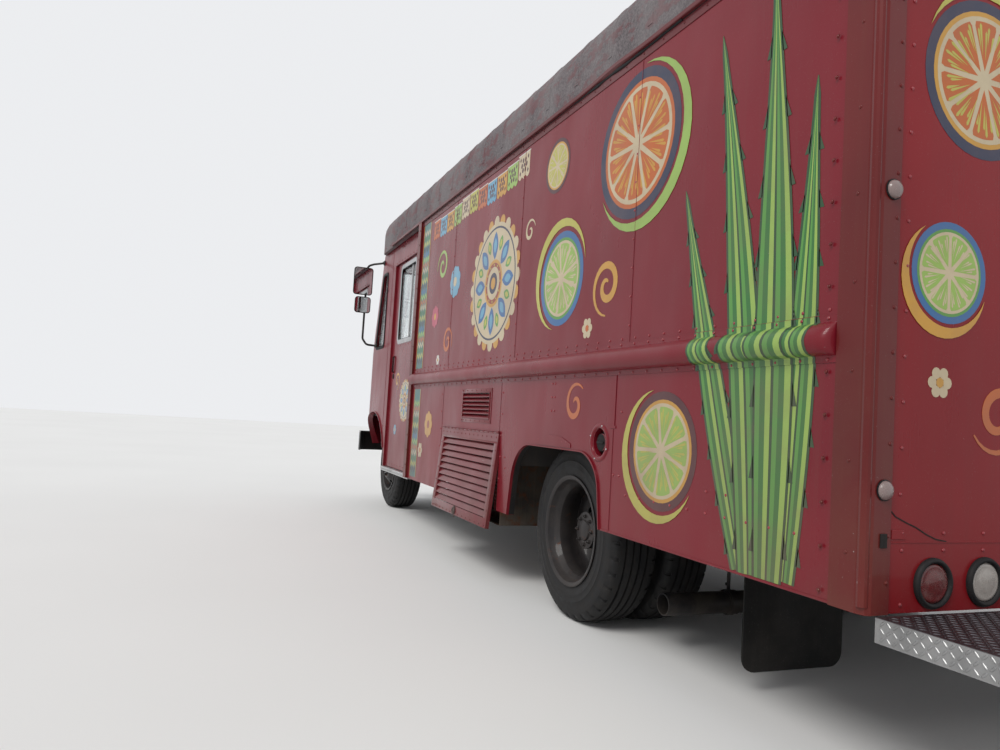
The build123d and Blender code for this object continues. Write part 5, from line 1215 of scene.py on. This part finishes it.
# ---- Kitchen units
# Folded stainless benches on tube legs, with doors, a griddle, knobs, a hood with baffle filters, and a
# counter under the serving window.
stainless = brushed("stainless", (0.56, 0.56, 0.55), 0.3, (2, 2, 90), dirt=0.3, dents=0.001)
dress(stainless, "kitchen_units")
black_knob = painted("black_moulding", (0.022, 0.022, 0.023), 0.45, grime=(0.09, 0.08, 0.07),
                     grime_amount=0.3, grain=0.0002)
bm, dark = bmesh.new(), bmesh.new()
for face, out, starts, wide, top, grip_z, inset in (
        (0.5595, -1, steps(-2.975, 0.558, 6), 0.545, 1.36, 1.324, 0.12),
        (-0.6595, 1, steps(-2.27, 0.53, 5), 0.515, 1.262, 1.228, 0.11)):
    for x0 in starts:
        # a door, its bar handle and the handle's two feet
        x1, x2 = x0 + inset, x0 + wide - inset
        boxes(bm, 0.004, (x0, x0 + wide, face, face + out * 0.016, 0.935, top),
              (x1, x2, face + out * 0.04, face + out * 0.05, grip_z - 0.006, grip_z + 0.006))
        plates(bm, 0.001, *((x, x + 0.008, face + out * 0.012, face + out * 0.044, grip_z - 0.004,
                             grip_z + 0.004) for x in (x1 + 0.01, x2 - 0.015)))
sweep(bm, [(-3.0, 0.56, 1.562), (0.38, 0.56, 1.562)], circle(0.012))
sweep(bm, [(-2.3, -0.62, 1.32), (0.4, -0.62, 1.32)], circle(0.012))
boxes(bm, 0.004, (-2.4, -1.5, 0.6, 1.06, 1.57, 1.6), (-2.4, -2.388, 0.6, 1.07, 1.59, 1.67),
      (-1.512, -1.5, 0.6, 1.07, 1.59, 1.67), (-2.4, -1.5, 1.058, 1.07, 1.59, 1.67),
      *((x - 0.19, x + 0.19, 0.62, 1.05, 1.57, 1.592) for x in (-1.21, -0.79)),
      *((x - 0.06, x + 0.06, 0.7, 0.712, 1.622, 1.632) for x in (-1.21, -0.79)))
plates(bm, 0.001,
       *((x - 0.004, x + 0.004, 0.702, 0.71, 1.588, 1.626) for x in (-1.262, -1.158, -0.842, -0.738)))
box(dark, -2.385, -1.515, 0.62, 1.055, 1.598, 1.604, 0.002)
for x in steps(-2.33, 0.21, 9):
    lathe(dark, (x, 0.56, 1.462), (0, -1, 0),
          [(0, 0.026), (0.006, 0.026), (0.007, 0.02), (0.026, 0.018), (0.028, 0.014)], 24)
    plates(dark, 0.001, (x - 0.003, x + 0.003, 0.528, 0.534, 1.445, 1.479))
for x in (-2.97, -2.48, -0.74, 0.35):
    for y in (0.59, 1.1):
        lathe(dark, (x, y, 0.7245), (0, 0, 1), [(0, 0.028), (0.01, 0.028), (0.014, 0.018), (0.03, 0.018)], 16)
finish_piece(dark, "kitchen_fittings", black_knob)
finish_piece(bm, "kitchen_fronts", stainless, 35)
bm = bmesh.new()
for x0 in steps(-2.66, 0.462, 5):
    plates(bm, 0.001, *((x, x + 0.026, 0.6, 1.09, 2.126, 2.131) for x in steps(x0, 0.048, 9)),
           *((x, x + 0.026, 0.6, 1.09, 2.138, 2.142) for x in steps(x0 + 0.024, 0.048, 9)),
           *((x, x + 0.008, 0.59, 1.1, 2.121, 2.147) for x in (x0 - 0.012, x0 + 0.436)))
plates(bm, 0.001, *((-2.675, -0.325, y, y + 0.01, 2.121, 2.147) for y in (0.586, 1.094)))
finish_piece(bm, "hood_filters", stainless, 35)

# ---- Generator
# A framed set on rubber feet in the compartment behind the louvred door. It has a cast engine block with
# fins, a round slotted alternator end and a sheet tank with a screwed cap.
dress(axle_iron, "generator")
bm = bmesh.new()
plates(bm, 0.001, *((-0.545, -0.1, 1.0145, 1.0265, z, z + 0.006) for z in steps(0.42, 0.022, 12)))
lathe(bm, (-0.03, 0.815, 0.56), (0, 1, 0), [(0.0, 0.12), (0.09, 0.12), (0.1, 0.11), (0.1, 0.0)], 28)
for t in around(10):
    x, z = -0.03 + 0.07 * cos(t), 0.56 + 0.07 * sin(t)
    plates(bm, 0.002, (x - 0.012, x + 0.012, 0.914, 0.92, z - 0.012, z + 0.012))
box(bm, -0.36, 0.11, 0.64, 0.99, 0.802, 0.838, 0.016)
lathe(bm, (-0.2, 0.86, 0.838), (0, 0, 1), [(0, 0.03), (0.014, 0.03), (0.016, 0.026)], 20)
finish_piece(bm, "generator_details", painted("generator_paint", (0.05, 0.05, 0.052), grime_amount=0.7),
             35)

# ---- Engine cover, dashboard and steering
# A moulded cover over the engine, a padded dashboard with two dials and rocker switches, a column and a
# three-spoke wheel with a grained rim, and three pedals.
def grained(name, base, rough, specular, grain):
    # leather-like cells moulded or pressed into a skin
    mat, tree, shader = principled(name, base, rough, Specular_IOR_Level=specular)
    return mat, tree, shader, node(tree, "TexVoronoi", Vector=in_metres(tree),
                                   Scale=grain).outputs["Distance"]


dash_skin, tree, shader, cells = grained("dash_skin", (0.03, 0.029, 0.028), 0.6, 0.4, 420.0)
dust = times(tree, cloudy(tree, 9, 6, 0.45, 0.75), 0.4)
wire(tree, shader, Base_Color=tint(tree, dust, (0.026, 0.025, 0.025), (0.1, 0.09, 0.08)))
bumped(tree, shader, (cells, 0.5, 0.0004), (noise(tree, 30, 3), 0.15, 0.0008))
bm = bmesh.new()
cover = [(2.14, 0.726), (2.14, 1.15), (2.2, 1.25), (3.21, 1.25), (3.21, 0.726)]
loft(bm, [[(max(x + (inset if x < 2.5 else 0), 2.14), y, z - (inset if z > 1.0 else 0)) for x, z in cover]
          for y, inset in ((0.38, 0.045), (0.376, 0.02), (0.355, 0.0), (-0.355, 0.0), (-0.376, 0.02),
                           (-0.38, 0.045))], closed=False)
dash = [(2.82, 1.2), (2.96, 1.2), (3.06, 1.29), (3.0, 1.46), (2.985, 1.472), (2.9, 1.48),
        (2.872, 1.474), (2.826, 1.392), (2.82, 1.375)]
loft(bm, [[(2.94 + (x - 2.94) * k, y, 1.34 + (z - 1.34) * k) for x, z in dash] for y, k in
          ((1.06, 0.9), (1.05, 0.97), (1.03, 1.0), (-1.03, 1.0), (-1.05, 0.97), (-1.06, 0.9))])
box(bm, 2.828, 2.905, 0.47, 0.85, 1.462, 1.484, 0.01, 3)
lathe(bm, (2.88, 0.66, 1.292), (-0.318, 0, 0.118),
      [(0, 0.03), (0.02, 0.034), (0.2, 0.034), (0.205, 0.026), (0.32, 0.026)], 24)
for y in (0.52, 0.64, 0.78):
    box(bm, 2.69, 2.702, y - 0.035, y + 0.035, 0.955, 1.035, 0.004)
    sweep(bm, rounded_path([(2.701, y, 0.995), (2.75, y, 1.005), (2.85, y, 1.215)], 0.03, 4),
          bar(0.009, 0.004))
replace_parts(finish_piece(bm, "dash_and_cover", dash_skin), "dashboard")
wheel_skin = painted("steering_rim", (0.016, 0.016, 0.017), 0.36, grime=(0.07, 0.06, 0.05), grime_amount=0.3,
                     grain=0.0004)
bm = bmesh.new()
wheel_turn = Vector((-0.55, 0, 0.83)).normalized()
column_top = Vector((2.56, 0.66, 1.42)) + wheel_turn * 0.01
wheel_right = Vector((0, 1, 0))
wheel_up = wheel_turn.cross(wheel_right)


def on_wheel(radius, angle, lift=0.0):
    return column_top + (wheel_right * cos(angle) + wheel_up * sin(angle)) * radius + wheel_turn * lift


grip = [(0.0135 * cos(a), 0.0115 * sin(a)) for a in around(12)]
sweep(bm, [on_wheel(0.213, a) for a in around(72)], grip, True, wheel_turn)
for a in (0.0, pi, 1.5 * pi):
    spoke = [on_wheel(r, a, lift)
             for r, lift in ((0.03, -0.002), (0.09, -0.004), (0.16, -0.002), (0.205, 0.0))]
    sweep(bm, spoke, bar(0.014, 0.004, 0.004, 0.012), up=wheel_turn)
lathe(bm, column_top - wheel_turn * 0.012, wheel_turn,
      [(0, 0.034), (0.002, 0.046), (0.014, 0.048), (0.02, 0.04), (0.022, 0.0)])
finish_piece(bm, "steering_wheel", wheel_skin, 45)
bm = bmesh.new()
for y in (0.575, 0.745):
    lathe(bm, (2.836, y, 1.405), (-0.87, 0, 0.49),
          [(-0.004, 0.05), (0.006, 0.05), (0.008, 0.046), (0.004, 0.044), (0.002, 0.0)], 36)
    plates(bm, 0.0004, (2.828, 2.8295, y - 0.001, y + 0.03, 1.404, 1.4065))
boxes(bm, 0.002, *((2.814, 2.8205, y, y + 0.025, 1.3, 1.335) for y in steps(0.34, -0.045, 6)))
dial_face = painted("dial_face", (0.1, 0.1, 0.1), 0.25, grime_amount=0.1, coat=0.4)
finish_piece(bm, "dials_and_switches", dial_face)

# ---- Driver's chair
# Foam cushions in worn black vinyl with piped edges and three sewn channels, on a sheet pan and a pedestal
# that is bolted to the floor; flat bent bars carry the back.
chair_vinyl, tree, shader, cells = grained("chair_vinyl", (0.022, 0.021, 0.021), 0.45, 0.45, 330.0)
wear = cloudy(tree, 12, 7, 0.5, 0.72, rough=0.65)
wire(tree, shader, Base_Color=tint(tree, times(tree, wear, 0.6), (0.02, 0.019, 0.019), (0.075, 0.066, 0.06)),
     Roughness=ranged(tree, wear, 0, 1, 0.38, 0.62))
bumped(tree, shader, (cells, 0.45, 0.0004), (noise(tree, 40, 5), 0.25, 0.0015))


def reshaped(piece):
    # keep what the modifiers give, and clear them
    old = piece.data
    piece.data = evaluated(piece)
    piece.modifiers.clear()
    bpy.data.meshes.remove(old)


def foam_cushion(name, corners, thick, seams, cap=0.008):
    # a pad blown up by a short cloth run, no point by more than the cap, then sewn down along its seams;
    # corners are its outline on the seating side, thick points away from the sitter
    bm = bmesh.new()
    top = [bm.verts.new(c) for c in corners]
    low = [bm.verts.new(c + thick) for c in corners]
    bm.faces.new(top)
    bm.faces.new(reversed(low))
    for i, j in ((0, 1), (1, 2), (2, 3), (3, 0)):
        bm.faces.new((top[j], top[i], low[i], low[j]))
    bmesh.ops.recalc_face_normals(bm, faces=bm.faces)
    bmesh.ops.bevel(bm, geom=bm.edges[:], offset=0.022, segments=3, profile=0.55, affect="EDGES")
    piece = finish_piece(bm, name, chair_vinyl, 80)
    remesh = piece.modifiers.new("remesh", "REMESH")
    remesh.mode, remesh.voxel_size = "VOXEL", 0.006
    reshaped(piece)
    rest = [v.co.copy() for v in piece.data.vertices]
    cloth = piece.modifiers.new("cloth", "CLOTH")
    cloth.settings.use_pressure = True
    cloth.settings.uniform_pressure_force = 4.0
    cloth.settings.effector_weights.gravity = 0.0
    cloth.settings.quality = 4
    cloth.collision_settings.use_self_collision = False
    cloth.point_cache.frame_start, cloth.point_cache.frame_end = 1, 20
    for frame_number in range(1, 21):
        bpy.context.scene.frame_set(frame_number)
    swollen = piece.evaluated_get(bpy.context.evaluated_depsgraph_get()).data
    moved = [v.co - r for v, r in zip(swollen.vertices, rest)]
    piece.modifiers.clear()
    bpy.context.scene.frame_set(1)
    for v, r, m in zip(piece.data.vertices, rest, moved):
        v.co = r + (m if m.length <= cap else m.normalized() * cap)
    out = -thick.normalized()
    for v in piece.data.vertices:
        if v.normal.dot(out) > 0.55:
            for origin, direction in seams:
                v.co -= out * 0.009 * exp(-((v.co - origin).dot(direction) / 0.009) ** 2)
    for face in piece.data.polygons:
        face.use_smooth = True
    smooth = piece.modifiers.new("smooth", "SUBSURF")
    smooth.levels = smooth.render_levels = 1
    reshaped(piece)
    return piece


def piping(name, target, corners):
    # a round cord sewn into the edge seam, laid on the cushion's surface
    surface = BVHTree.FromPolygons([v.co for v in target.data.vertices],
                                   [p.vertices for p in target.data.polygons])
    path = rounded_path(corners, 0.045, 6, True)
    laid = []
    for a, b in zip(path, path[1:] + path[:1]):
        count = max(1, int((b - a).length / 0.02))
        laid += [surface.find_nearest(a.lerp(b, k / count))[0] for k in range(count)]
    bm = bmesh.new()
    sweep(bm, laid, circle(0.0036, 8), True, (0.3, 0.2, 1))
    finish_piece(bm, name, chair_vinyl, 80)


seat = [Vector((x, y, 0.98)) for x, y in ((1.894, 0.444), (2.316, 0.444), (2.316, 0.876), (1.894, 0.876))]
seat_pad = foam_cushion("seat_cushion", seat, Vector((0, 0, -0.066)),
                        [(Vector((x, 0, 0)), Vector((1, 0, 0))) for x in (1.99, 2.105, 2.22)])
lean = Vector((-0.08, 0, 0.58)).normalized()
back_in = Vector((lean.z, 0, -lean.x))
foot = Vector((1.95, 0.66, 1.005))
back = [foot + lean * u + Vector((0, v, 0))
        for u, v in ((0, -0.205), (0, 0.205), (0.538, 0.205), (0.538, -0.205))]
back_pad = foam_cushion("back_cushion", back, -back_in * 0.058,
                        [(foot + lean * u, lean) for u in (0.14, 0.27, 0.4)])
piping("seat_piping", seat_pad, [c + Vector((0, 0, -0.004)) for c in seat])
piping("back_piping", back_pad, [c - back_in * 0.004 for c in back])
bm = bmesh.new()
box(bm, 1.895, 2.315, 0.445, 0.875, 0.9, 0.914, 0.006)
box(bm, 1.935, 2.195, 0.525, 0.675, 0.728, 0.905, 0.01)
boxes(bm, 0.003, *((1.925, 2.205, y - 0.018, y + 0.018, 0.7245, 0.732) for y in (0.56, 0.64)))
for y in (0.45, 0.87):
    bent = rounded_path([(1.96, y, 0.907), (1.885, y, 0.915), (1.868, y, 1.02), (1.835, y, 1.25)], 0.03, 4)
    sweep(bm, bent, bar(0.006, 0.012), up=(0, 1, 0))
box(bm, 2.18, 2.3, 0.428, 0.442, 0.912, 0.926, 0.005)
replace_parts(finish_piece(bm, "chair_frame", black_knob), "driver_chair")

# ---- Printed film
# Vinyl film cut to its motifs and laid over sheet, rail and rivets alike: tall striped leaves at the rear
# corners, sliced fruit wheels, a tile rosette, woven zigzag bands and a row of cut-paper flags.
film, tree, shader = principled("printed_film", (0.5, 0.5, 0.5), 0.34, Specular_IOR_Level=0.35,
                                Coat_Weight=0.25, Coat_Roughness=0.1)
ink = node(tree, "Attribute", {"attribute_name": "ink"}).outputs["Color"]
worn = times(tree, cloudy(tree, 5.5, 7, 0.42, 0.75, rough=0.65), 0.3)
soil = times(tree, ranged(tree, height_of(tree), 1.3, 0.3), 0.35)
faded = tint(tree, times(tree, worn, soil, "ADD"), ink, (0.16, 0.085, 0.07))
scuffs = times(tree, cloudy(tree, 70, 5, 0.7, 0.72, stretch=(1, 1, 3), rough=0.75), 0.6)
wire(tree, shader, Base_Color=tint(tree, scuffs, faded, (0.3, 0.24, 0.22)),
     Roughness=cloudy(tree, 3.1, 5, 0.3, 0.75, 0.28, 0.48))
bumped(tree, shader, (noise(tree, 420, 3), 0.25, 0.00015), (noise(tree, 2.6, 1.5, (1, 1, 0.7)), 1.0, 0.01))
CREAM, GOLD = (0.52, 0.43, 0.28), (0.52, 0.27, 0.035)
STRAW, ORANGE = (0.44, 0.42, 0.075), (0.46, 0.105, 0.012)
NAVY, BLUE, SKY, TEAL = (0.014, 0.02, 0.055), (0.025, 0.12, 0.3), (0.12, 0.33, 0.48), (0.02, 0.14, 0.13)
FOREST, GREEN, LEAF, LIME = (0.012, 0.06, 0.018), (0.03, 0.15, 0.03), (0.085, 0.27, 0.05), (0.27, 0.42, 0.085)
RUST, MAROON, WHITE, PINK = (0.26, 0.035, 0.012), (0.055, 0.004, 0.01), (0.6, 0.58, 0.54), (0.42, 0.05, 0.1)


def polar(u, v, r, a):
    # the point at a radius and an angle from a motif's middle
    return (u + r * cos(a), v + r * sin(a))


def dot(u, v, r, layer, colour, n=40, squash=1.0):
    # every motif is a list of prints: (outline, layer, colour), a higher layer covering a lower one
    return ([(u + r * cos(a), v + r * squash * sin(a)) for a in around(n)], layer, colour)


def crescent(u, v, r, middle, half, thick, colour):
    # a moon-shaped strip round a circle, thickest at its middle angle
    rows = [[polar(u, v, q, middle + half * (k / 12 - 1)) for q in (r + thick * sin(pi * k / 24), r)]
            for k in range(25)]
    return [((a[0], b[0], b[1], a[1]), 5, colour) for a, b in zip(rows, rows[1:])]


def fruit_wheel(u, v, r, skin, flesh, juice, back, cut=9):
    # a slice across a citrus fruit: skin, pith, and wedges with their pips of light
    prints = [dot(u, v, r * 1.16, 0, back), dot(u, v, r, 1, skin), dot(u, v, r * 0.93, 2, CREAM)]
    span = 2 * pi * 0.86 / cut
    for k, start in enumerate(around(cut, 2 * pi * 0.07 / cut)):
        wedge = [(0.86, 0.06 + 0.88 * i / 6) for i in range(7)] + [(0.8, 1), (0.14, 0.5), (0.8, 0)]
        prints.append(([polar(u, v, q * r, start + t * span) for q, t in wedge], 3, flesh))
        for i in range(5):
            a = start + span * (i + 0.5 + 0.2 * (-1) ** (k + i)) / 5
            low, high = r * (0.3 + 0.07 * ((3 * i + k) % 4)), r * (0.66 + 0.035 * ((2 * i + k) % 5))
            pip = ((low, 0), (high, -0.03), (high + 0.035 * r, 0), (high, 0.03))
            prints.append(([polar(u, v, q, a + turn) for q, turn in pip], 4, juice))
    return prints


def tall_leaf(foot, tip, bend, wide, layer, count=26):
    # one long pointed leaf, striped along its length, with a pale edge and small thorns
    a, c = Vector(foot), Vector(tip)
    b = (a + c) / 2 + Vector((bend, 0))
    stations = []
    for t in (k / count for k in range(count + 1)):
        along = (2 * (1 - t) * (b - a) + 2 * t * (c - b)).normalized()
        half = wide * (0.45 + 0.55 * sin(pi * min(1.0, 0.12 + t * 0.95))) * (1 - t ** 3.2)
        stations.append(((1 - t) ** 2 * a + 2 * t * (1 - t) * b + t * t * c,
                         Vector((-along.y, along.x)), half))

    def at(k, q, extra=0.0):
        middle, side, half = stations[k]
        return middle + side * (half * q + copysign(extra, q))

    prints = []
    for k in range(count):
        end = 0.01 if k < count - 1 else 0.002
        prints.append(((at(k, -1, 0.01), at(k + 1, -1, end), at(k + 1, 1, end), at(k, 1, 0.01)),
                       layer, FOREST))
        edges = (-1, -0.72, -0.4, -0.1, 0.06, 0.34, 0.66, 1)
        for q0, q1, colour in zip(edges, edges[1:], (LEAF, GREEN, LIME, FOREST, LEAF, GREEN, LIME)):
            prints.append(((at(k, q0), at(k + 1, q0), at(k + 1, q1), at(k, q1)), layer + 1, colour))
        if k % 3 == 1 and k < count - 3:
            prints += [((at(k, q, 0.006), at(k + 1, q, 0.006), at(k, q, 0.026)), layer, FOREST)
                       for q in (-1, 1)]
    return prints


def rosette(u, v, r):
    # an eight-fold glazed-tile rosette in rings
    prints = [dot(*polar(u, v, 0.93 * r, a), r * 0.1, 0, GOLD if k % 2 else CREAM, 14)
              for k, a in enumerate(around(24))]
    prints += [dot(u, v, r * q, layer, colour, 56) for q, layer, colour in
               ((0.92, 1, CREAM), (0.86, 2, NAVY), (0.83, 3, CREAM))]
    for k, a in enumerate(around(16)):
        far, near, wide = (0.74, 0.5, 0.07) if k % 2 else (0.79, 0.36, 0.115)
        half = [((far - near) * (i / 8 - 0.5), wide * sin(pi * i / 8) ** 0.8) for i in range(9)]
        petal = half + [(q, -w) for q, w in half[-2:0:-1]]
        for shrink, layer, colour in ((1.0, 4, LEAF if k % 2 else BLUE), (0.55, 5, STRAW if k % 2 else SKY)):
            sized = [(r * ((near + far) / 2 + q * shrink), r * w * shrink) for q, w in petal]
            prints.append(([(u + q * cos(a) - w * sin(a), v + q * sin(a) + w * cos(a)) for q, w in sized],
                           layer, colour))
    prints += [dot(u, v, r * q, layer, colour, 36) for q, layer, colour in
               ((0.36, 4, GOLD), (0.31, 5, RUST), (0.25, 6, CREAM), (0.16, 7, NAVY), (0.09, 8, GOLD))]
    return prints + [dot(*polar(u, v, 0.28 * r, a), r * 0.018, 6, STRAW, 8) for a in around(12)]


def panel(u0, u1, v0, v1, layer, colour):
    return ([(u0, v0), (u1, v0), (u1, v1), (u0, v1)], layer, colour)


def zigzag_band(u0, u1, v0, v1, pitch=0.085):
    # a woven upright band: zigzags of six slopes in turn between narrow plain borders
    colours = (NAVY, STRAW, GREEN, CREAM, ORANGE, LIME, BLUE)
    edge = (u1 - u0) * 0.08
    fold = (u1 - u0 - 2 * edge) / 6
    prints = [panel(u0, u1, v0, v1, 0, TEAL), panel(u0, u0 + edge * 0.6, v0, v1, 2, GOLD),
              panel(u1 - edge * 0.6, u1, v0, v1, 2, GOLD)]
    for i in range(int((v1 - v0 - pitch) / (pitch * 0.5))):
        v = v0 + pitch * (0.35 + 0.5 * i)
        line = [(u0 + edge + fold * q, v + pitch * 0.42 * (q % 2)) for q in range(7)]
        prints += [((a, b, (b[0], b[1] + pitch * 0.26), (a[0], a[1] + pitch * 0.26)), 1, colours[i % 7])
                   for a, b in zip(line, line[1:])]
    return prints


def cut_paper_row(u0, v, count, wide, tall):
    # small flags on a string, each with a scalloped foot and a pierced flower
    prints = []
    for i in range(count):
        a = u0 + i * wide * 1.08
        top = v - 0.03 * sin(pi * (i % 6 + 0.5) / 6)
        foot = [(a + wide * k / 12, top - tall - 0.016 * abs(sin(pi * k / 4))) for k in range(13)]
        prints.append(([(a + wide, top), (a, top)] + foot, 0, (CREAM, LIME, GOLD, SKY, ORANGE, STRAW)[i % 6]))
        prints.append(panel(a - wide * 0.05, a + wide * 1.05, top, top + 0.006, 1, WHITE))
        heart = (a + wide / 2, top - tall * 0.5)
        prints += [dot(*heart, wide * 0.075, 1, MAROON, 10)]
        prints += [dot(*polar(*heart, wide * 0.21, b), wide * 0.075, 1, MAROON, 10, 1.3) for b in around(6)]
        for x, z in ((a + wide * q, top - tall * h) for q in (0.16, 0.84) for h in (0.2, 0.82)):
            prints.append(([(x - 0.011, z), (x, z - 0.015), (x + 0.011, z), (x, z + 0.015)], 1, MAROON))
    return prints


def swirl(u, v, r, turns, wide, colour, start=0.0, hand=1):
    # a curled ribbon that tapers towards both ends
    line = []
    count = int(26 * turns)
    for t in (k / count for k in range(count + 1)):
        q, w = r * (0.16 + 0.84 * t ** 1.15), wide * sin(pi * (0.04 + 0.93 * t)) ** 0.7
        line.append([polar(u, v, edge, start + hand * 2 * pi * turns * t) for edge in (q + w, q - w)])
    return [((a[0], b[0], b[1], a[1]), 1, colour) for a, b in zip(line, line[1:])]


def flower(u, v, r, petals, colour, heart):
    # petals in turn on two layers, with a third for an odd last one
    prints = [dot(u, v, r * 0.3, 4, heart, 14)]
    for k, a in enumerate(around(petals)):
        layer = 3 if petals % 2 and k == petals - 1 else 1 + k % 2
        prints.append(dot(*polar(u, v, r * 0.62, a), r * 0.36, layer, colour, 12))
    return prints


def lay_film(name, prints, place, cuts=(), body="truck"):
    # place(u, v, lift) puts a printed point on the truck; cuts are heights at which the sheet under it bends
    sheets = {}
    for outline, layer, colour in prints:
        if layer not in sheets:
            sheets[layer] = bmesh.new()
            sheets[layer].loops.layers.float_color.new("ink")
        bm = sheets[layer]
        for loop in bm.faces.new([bm.verts.new((u, 0, v)) for u, v in outline]).loops:
            loop[bm.loops.layers.float_color["ink"]] = (*colour, 1.0)
    whole = bmesh.new()
    whole.loops.layers.float_color.new("ink")
    for layer, bm in sorted(sheets.items()):
        for height in cuts:
            bmesh.ops.bisect_plane(bm, geom=bm.verts[:] + bm.edges[:] + bm.faces[:], plane_co=(0, 0, height),
                                   plane_no=(0, 0, 1), dist=1e-5)
        bmesh.ops.triangulate(bm, faces=bm.faces[:])
        for v in bm.verts:
            v.co = place(v.co.x, v.co.z, 0.0007 + 0.00022 * layer)
        made = bmesh.ops.extrude_face_region(bm, geom=bm.faces[:], use_keep_orig=True)
        for v in [g for g in made["geom"] if isinstance(g, bmesh.types.BMVert)]:
            v.co += (place(0, 1.0, 0.0) - place(0, 1.0, 1.0)).normalized() * 0.0005
        bmesh.ops.recalc_face_normals(bm, faces=bm.faces)
        part = bpy.data.meshes.new("part")
        bm.to_mesh(part)
        bm.free()
        whole.from_mesh(part)
        bpy.data.meshes.remove(part)
    finish_piece(whole, name, film, 30, body)


for side, s in (("left", 1), ("right", -1)):
    prints = (
        tall_leaf((-2.8, 0.515), (-2.42, 1.8), 0.02, 0.058, 0)
        + tall_leaf((-2.99, 0.515), (-3.055, 1.98), -0.02, 0.052, 0)
        + tall_leaf((-2.84, 0.505), (-2.6, 2.3), -0.06, 0.07, 2)
        + tall_leaf((-2.92, 0.505), (-2.86, 2.41), -0.03, 0.08, 4)
        + fruit_wheel(-2.335, 0.85, 0.19, GOLD, LIME, STRAW, MAROON)
        + crescent(-2.335, 0.85, 0.235, -0.6, 1.9, 0.045, STRAW)
        + swirl(-1.62, 1.02, 0.1, 1.3, 0.014, ORANGE, 0.5)
        + flower(0.74, 0.86, 0.1, 8, GOLD, RUST) + flower(0.92, 0.66, 0.06, 6, CREAM, ORANGE)
        + zigzag_band(1.0, 1.2, 1.285, 2.44) + zigzag_band(1.0, 1.18, 0.445, 1.125))
    prints += (
        fruit_wheel(-2.06, 2.09, 0.265, ORANGE, ORANGE, GOLD, NAVY, 10)
        + crescent(-2.06, 2.09, 0.325, 3.7, 2.0, 0.055, LIME)
        + fruit_wheel(-1.4, 1.63, 0.2, LEAF, LIME, CREAM, BLUE)
        + crescent(-1.4, 1.63, 0.255, 0.8, 2.1, 0.05, STRAW)
        + fruit_wheel(-1.29, 2.22, 0.12, GOLD, STRAW, CREAM, MAROON, 8)
        + rosette(-0.46, 1.74, 0.4) + cut_paper_row(-0.92, 2.425, 11, 0.155, 0.125)
        + swirl(-1.86, 1.53, 0.13, 1.6, 0.018, GOLD, 2.2, -1)
        + swirl(0.4, 1.45, 0.11, 1.5, 0.015, ORANGE, 0.4)
        + swirl(0.62, 2.02, 0.13, 1.5, 0.016, LIME, 3.0, -1) + swirl(-0.98, 1.95, 0.07, 1.3, 0.01, CREAM, 1.0)
        + flower(0.3, 1.86, 0.115, 9, SKY, CREAM) + flower(0.74, 1.66, 0.085, 8, PINK, GOLD)
        + flower(-1.7, 1.36, 0.05, 6, CREAM, ORANGE) + flower(0.6, 1.33, 0.04, 6, WHITE, GOLD)
        if s > 0 else rosette(-1.86, 1.8, 0.34) + swirl(-1.44, 1.42, 0.09, 1.4, 0.012, GOLD)
        + swirl(-2.3, 2.22, 0.1, 1.4, 0.014, ORANGE, 1.0, -1))
    lay_film(f"side_film_{side}", prints,
             lambda u, v, lift, s=s: Vector((u, s * (SIDE + rail_out(v) + lift), v)),
             [z for _, z in RAIL_PROFILE])
    lay_film(f"cab_door_film_{side}", rosette(1.72, 1.04, 0.18)
             + swirl(2.02, 1.22, 0.085, 1.4, 0.011, GOLD, 2.0)
             + swirl(1.46, 1.3, 0.075, 1.3, 0.01, LIME, 0.4, -1) + flower(2.0, 0.78, 0.05, 6, SKY, GOLD)
             + flower(1.44, 0.76, 0.06, 8, GOLD, RUST),
             lambda u, v, lift, s=s: Vector((u, s * (DOOR_SKIN + lift), v)), body=f"sliding_door_{side}")
lay_film("hatch_film", rosette(-0.175, 1.74, 0.25)
         + fruit_wheel(-0.86, 1.72, 0.19, GOLD, ORANGE, STRAW, NAVY, 10)
         + crescent(-0.86, 1.72, 0.232, 3.4, 1.9, 0.042, STRAW)
         + fruit_wheel(0.51, 1.72, 0.19, LEAF, LIME, CREAM, BLUE)
         + crescent(0.51, 1.72, 0.232, -0.3, 1.9, 0.042, GOLD)
         + swirl(-0.53, 1.52, 0.08, 1.3, 0.011, ORANGE, 1.0)
         + swirl(0.18, 1.9, 0.08, 1.3, 0.011, LIME, 2.6, -1) + flower(-0.52, 1.9, 0.06, 8, SKY, CREAM)
         + flower(0.17, 1.53, 0.055, 6, WHITE, GOLD),
         lambda u, v, lift: Vector((u, HATCH_Y - 0.0001 - lift, v)), body="hatch")
rear_prints = (
    fruit_wheel(0.79, 1.96, 0.195, GOLD, ORANGE, STRAW, NAVY, 10)
    + crescent(0.79, 1.96, 0.238, 2.4, 1.9, 0.045, STRAW)
    + fruit_wheel(0.905, 1.4, 0.12, LEAF, LIME, CREAM, BLUE, 8)
    + crescent(0.905, 1.4, 0.15, -0.9, 1.8, 0.035, GOLD) + swirl(0.7, 1.02, 0.11, 1.6, 0.014, ORANGE, 2.0)
    + swirl(0.62, 1.6, 0.08, 1.3, 0.01, GOLD, 0.3, -1) + flower(0.93, 1.1, 0.045, 6, CREAM, GOLD)
    + flower(0.6, 1.3, 0.05, 7, PINK, GOLD) + fruit_wheel(-0.76, 1.5, 0.17, LEAF, LIME, CREAM, NAVY)
    + crescent(-0.76, 1.5, 0.21, 0.4, 1.9, 0.04, STRAW)
    + fruit_wheel(-0.88, 2.08, 0.13, GOLD, ORANGE, STRAW, BLUE, 8)
    + swirl(-0.74, 1.08, 0.12, 1.5, 0.015, GOLD, 0.8, -1))
for name, body, prints in (("rear_film", "truck", rear_prints),
                           ("rear_door_film", "back_door", rosette(0.0, 1.865, 0.215))):
    lay_film(name, prints, lambda u, v, lift: Vector((REAR - lift, u, v)), body=body)
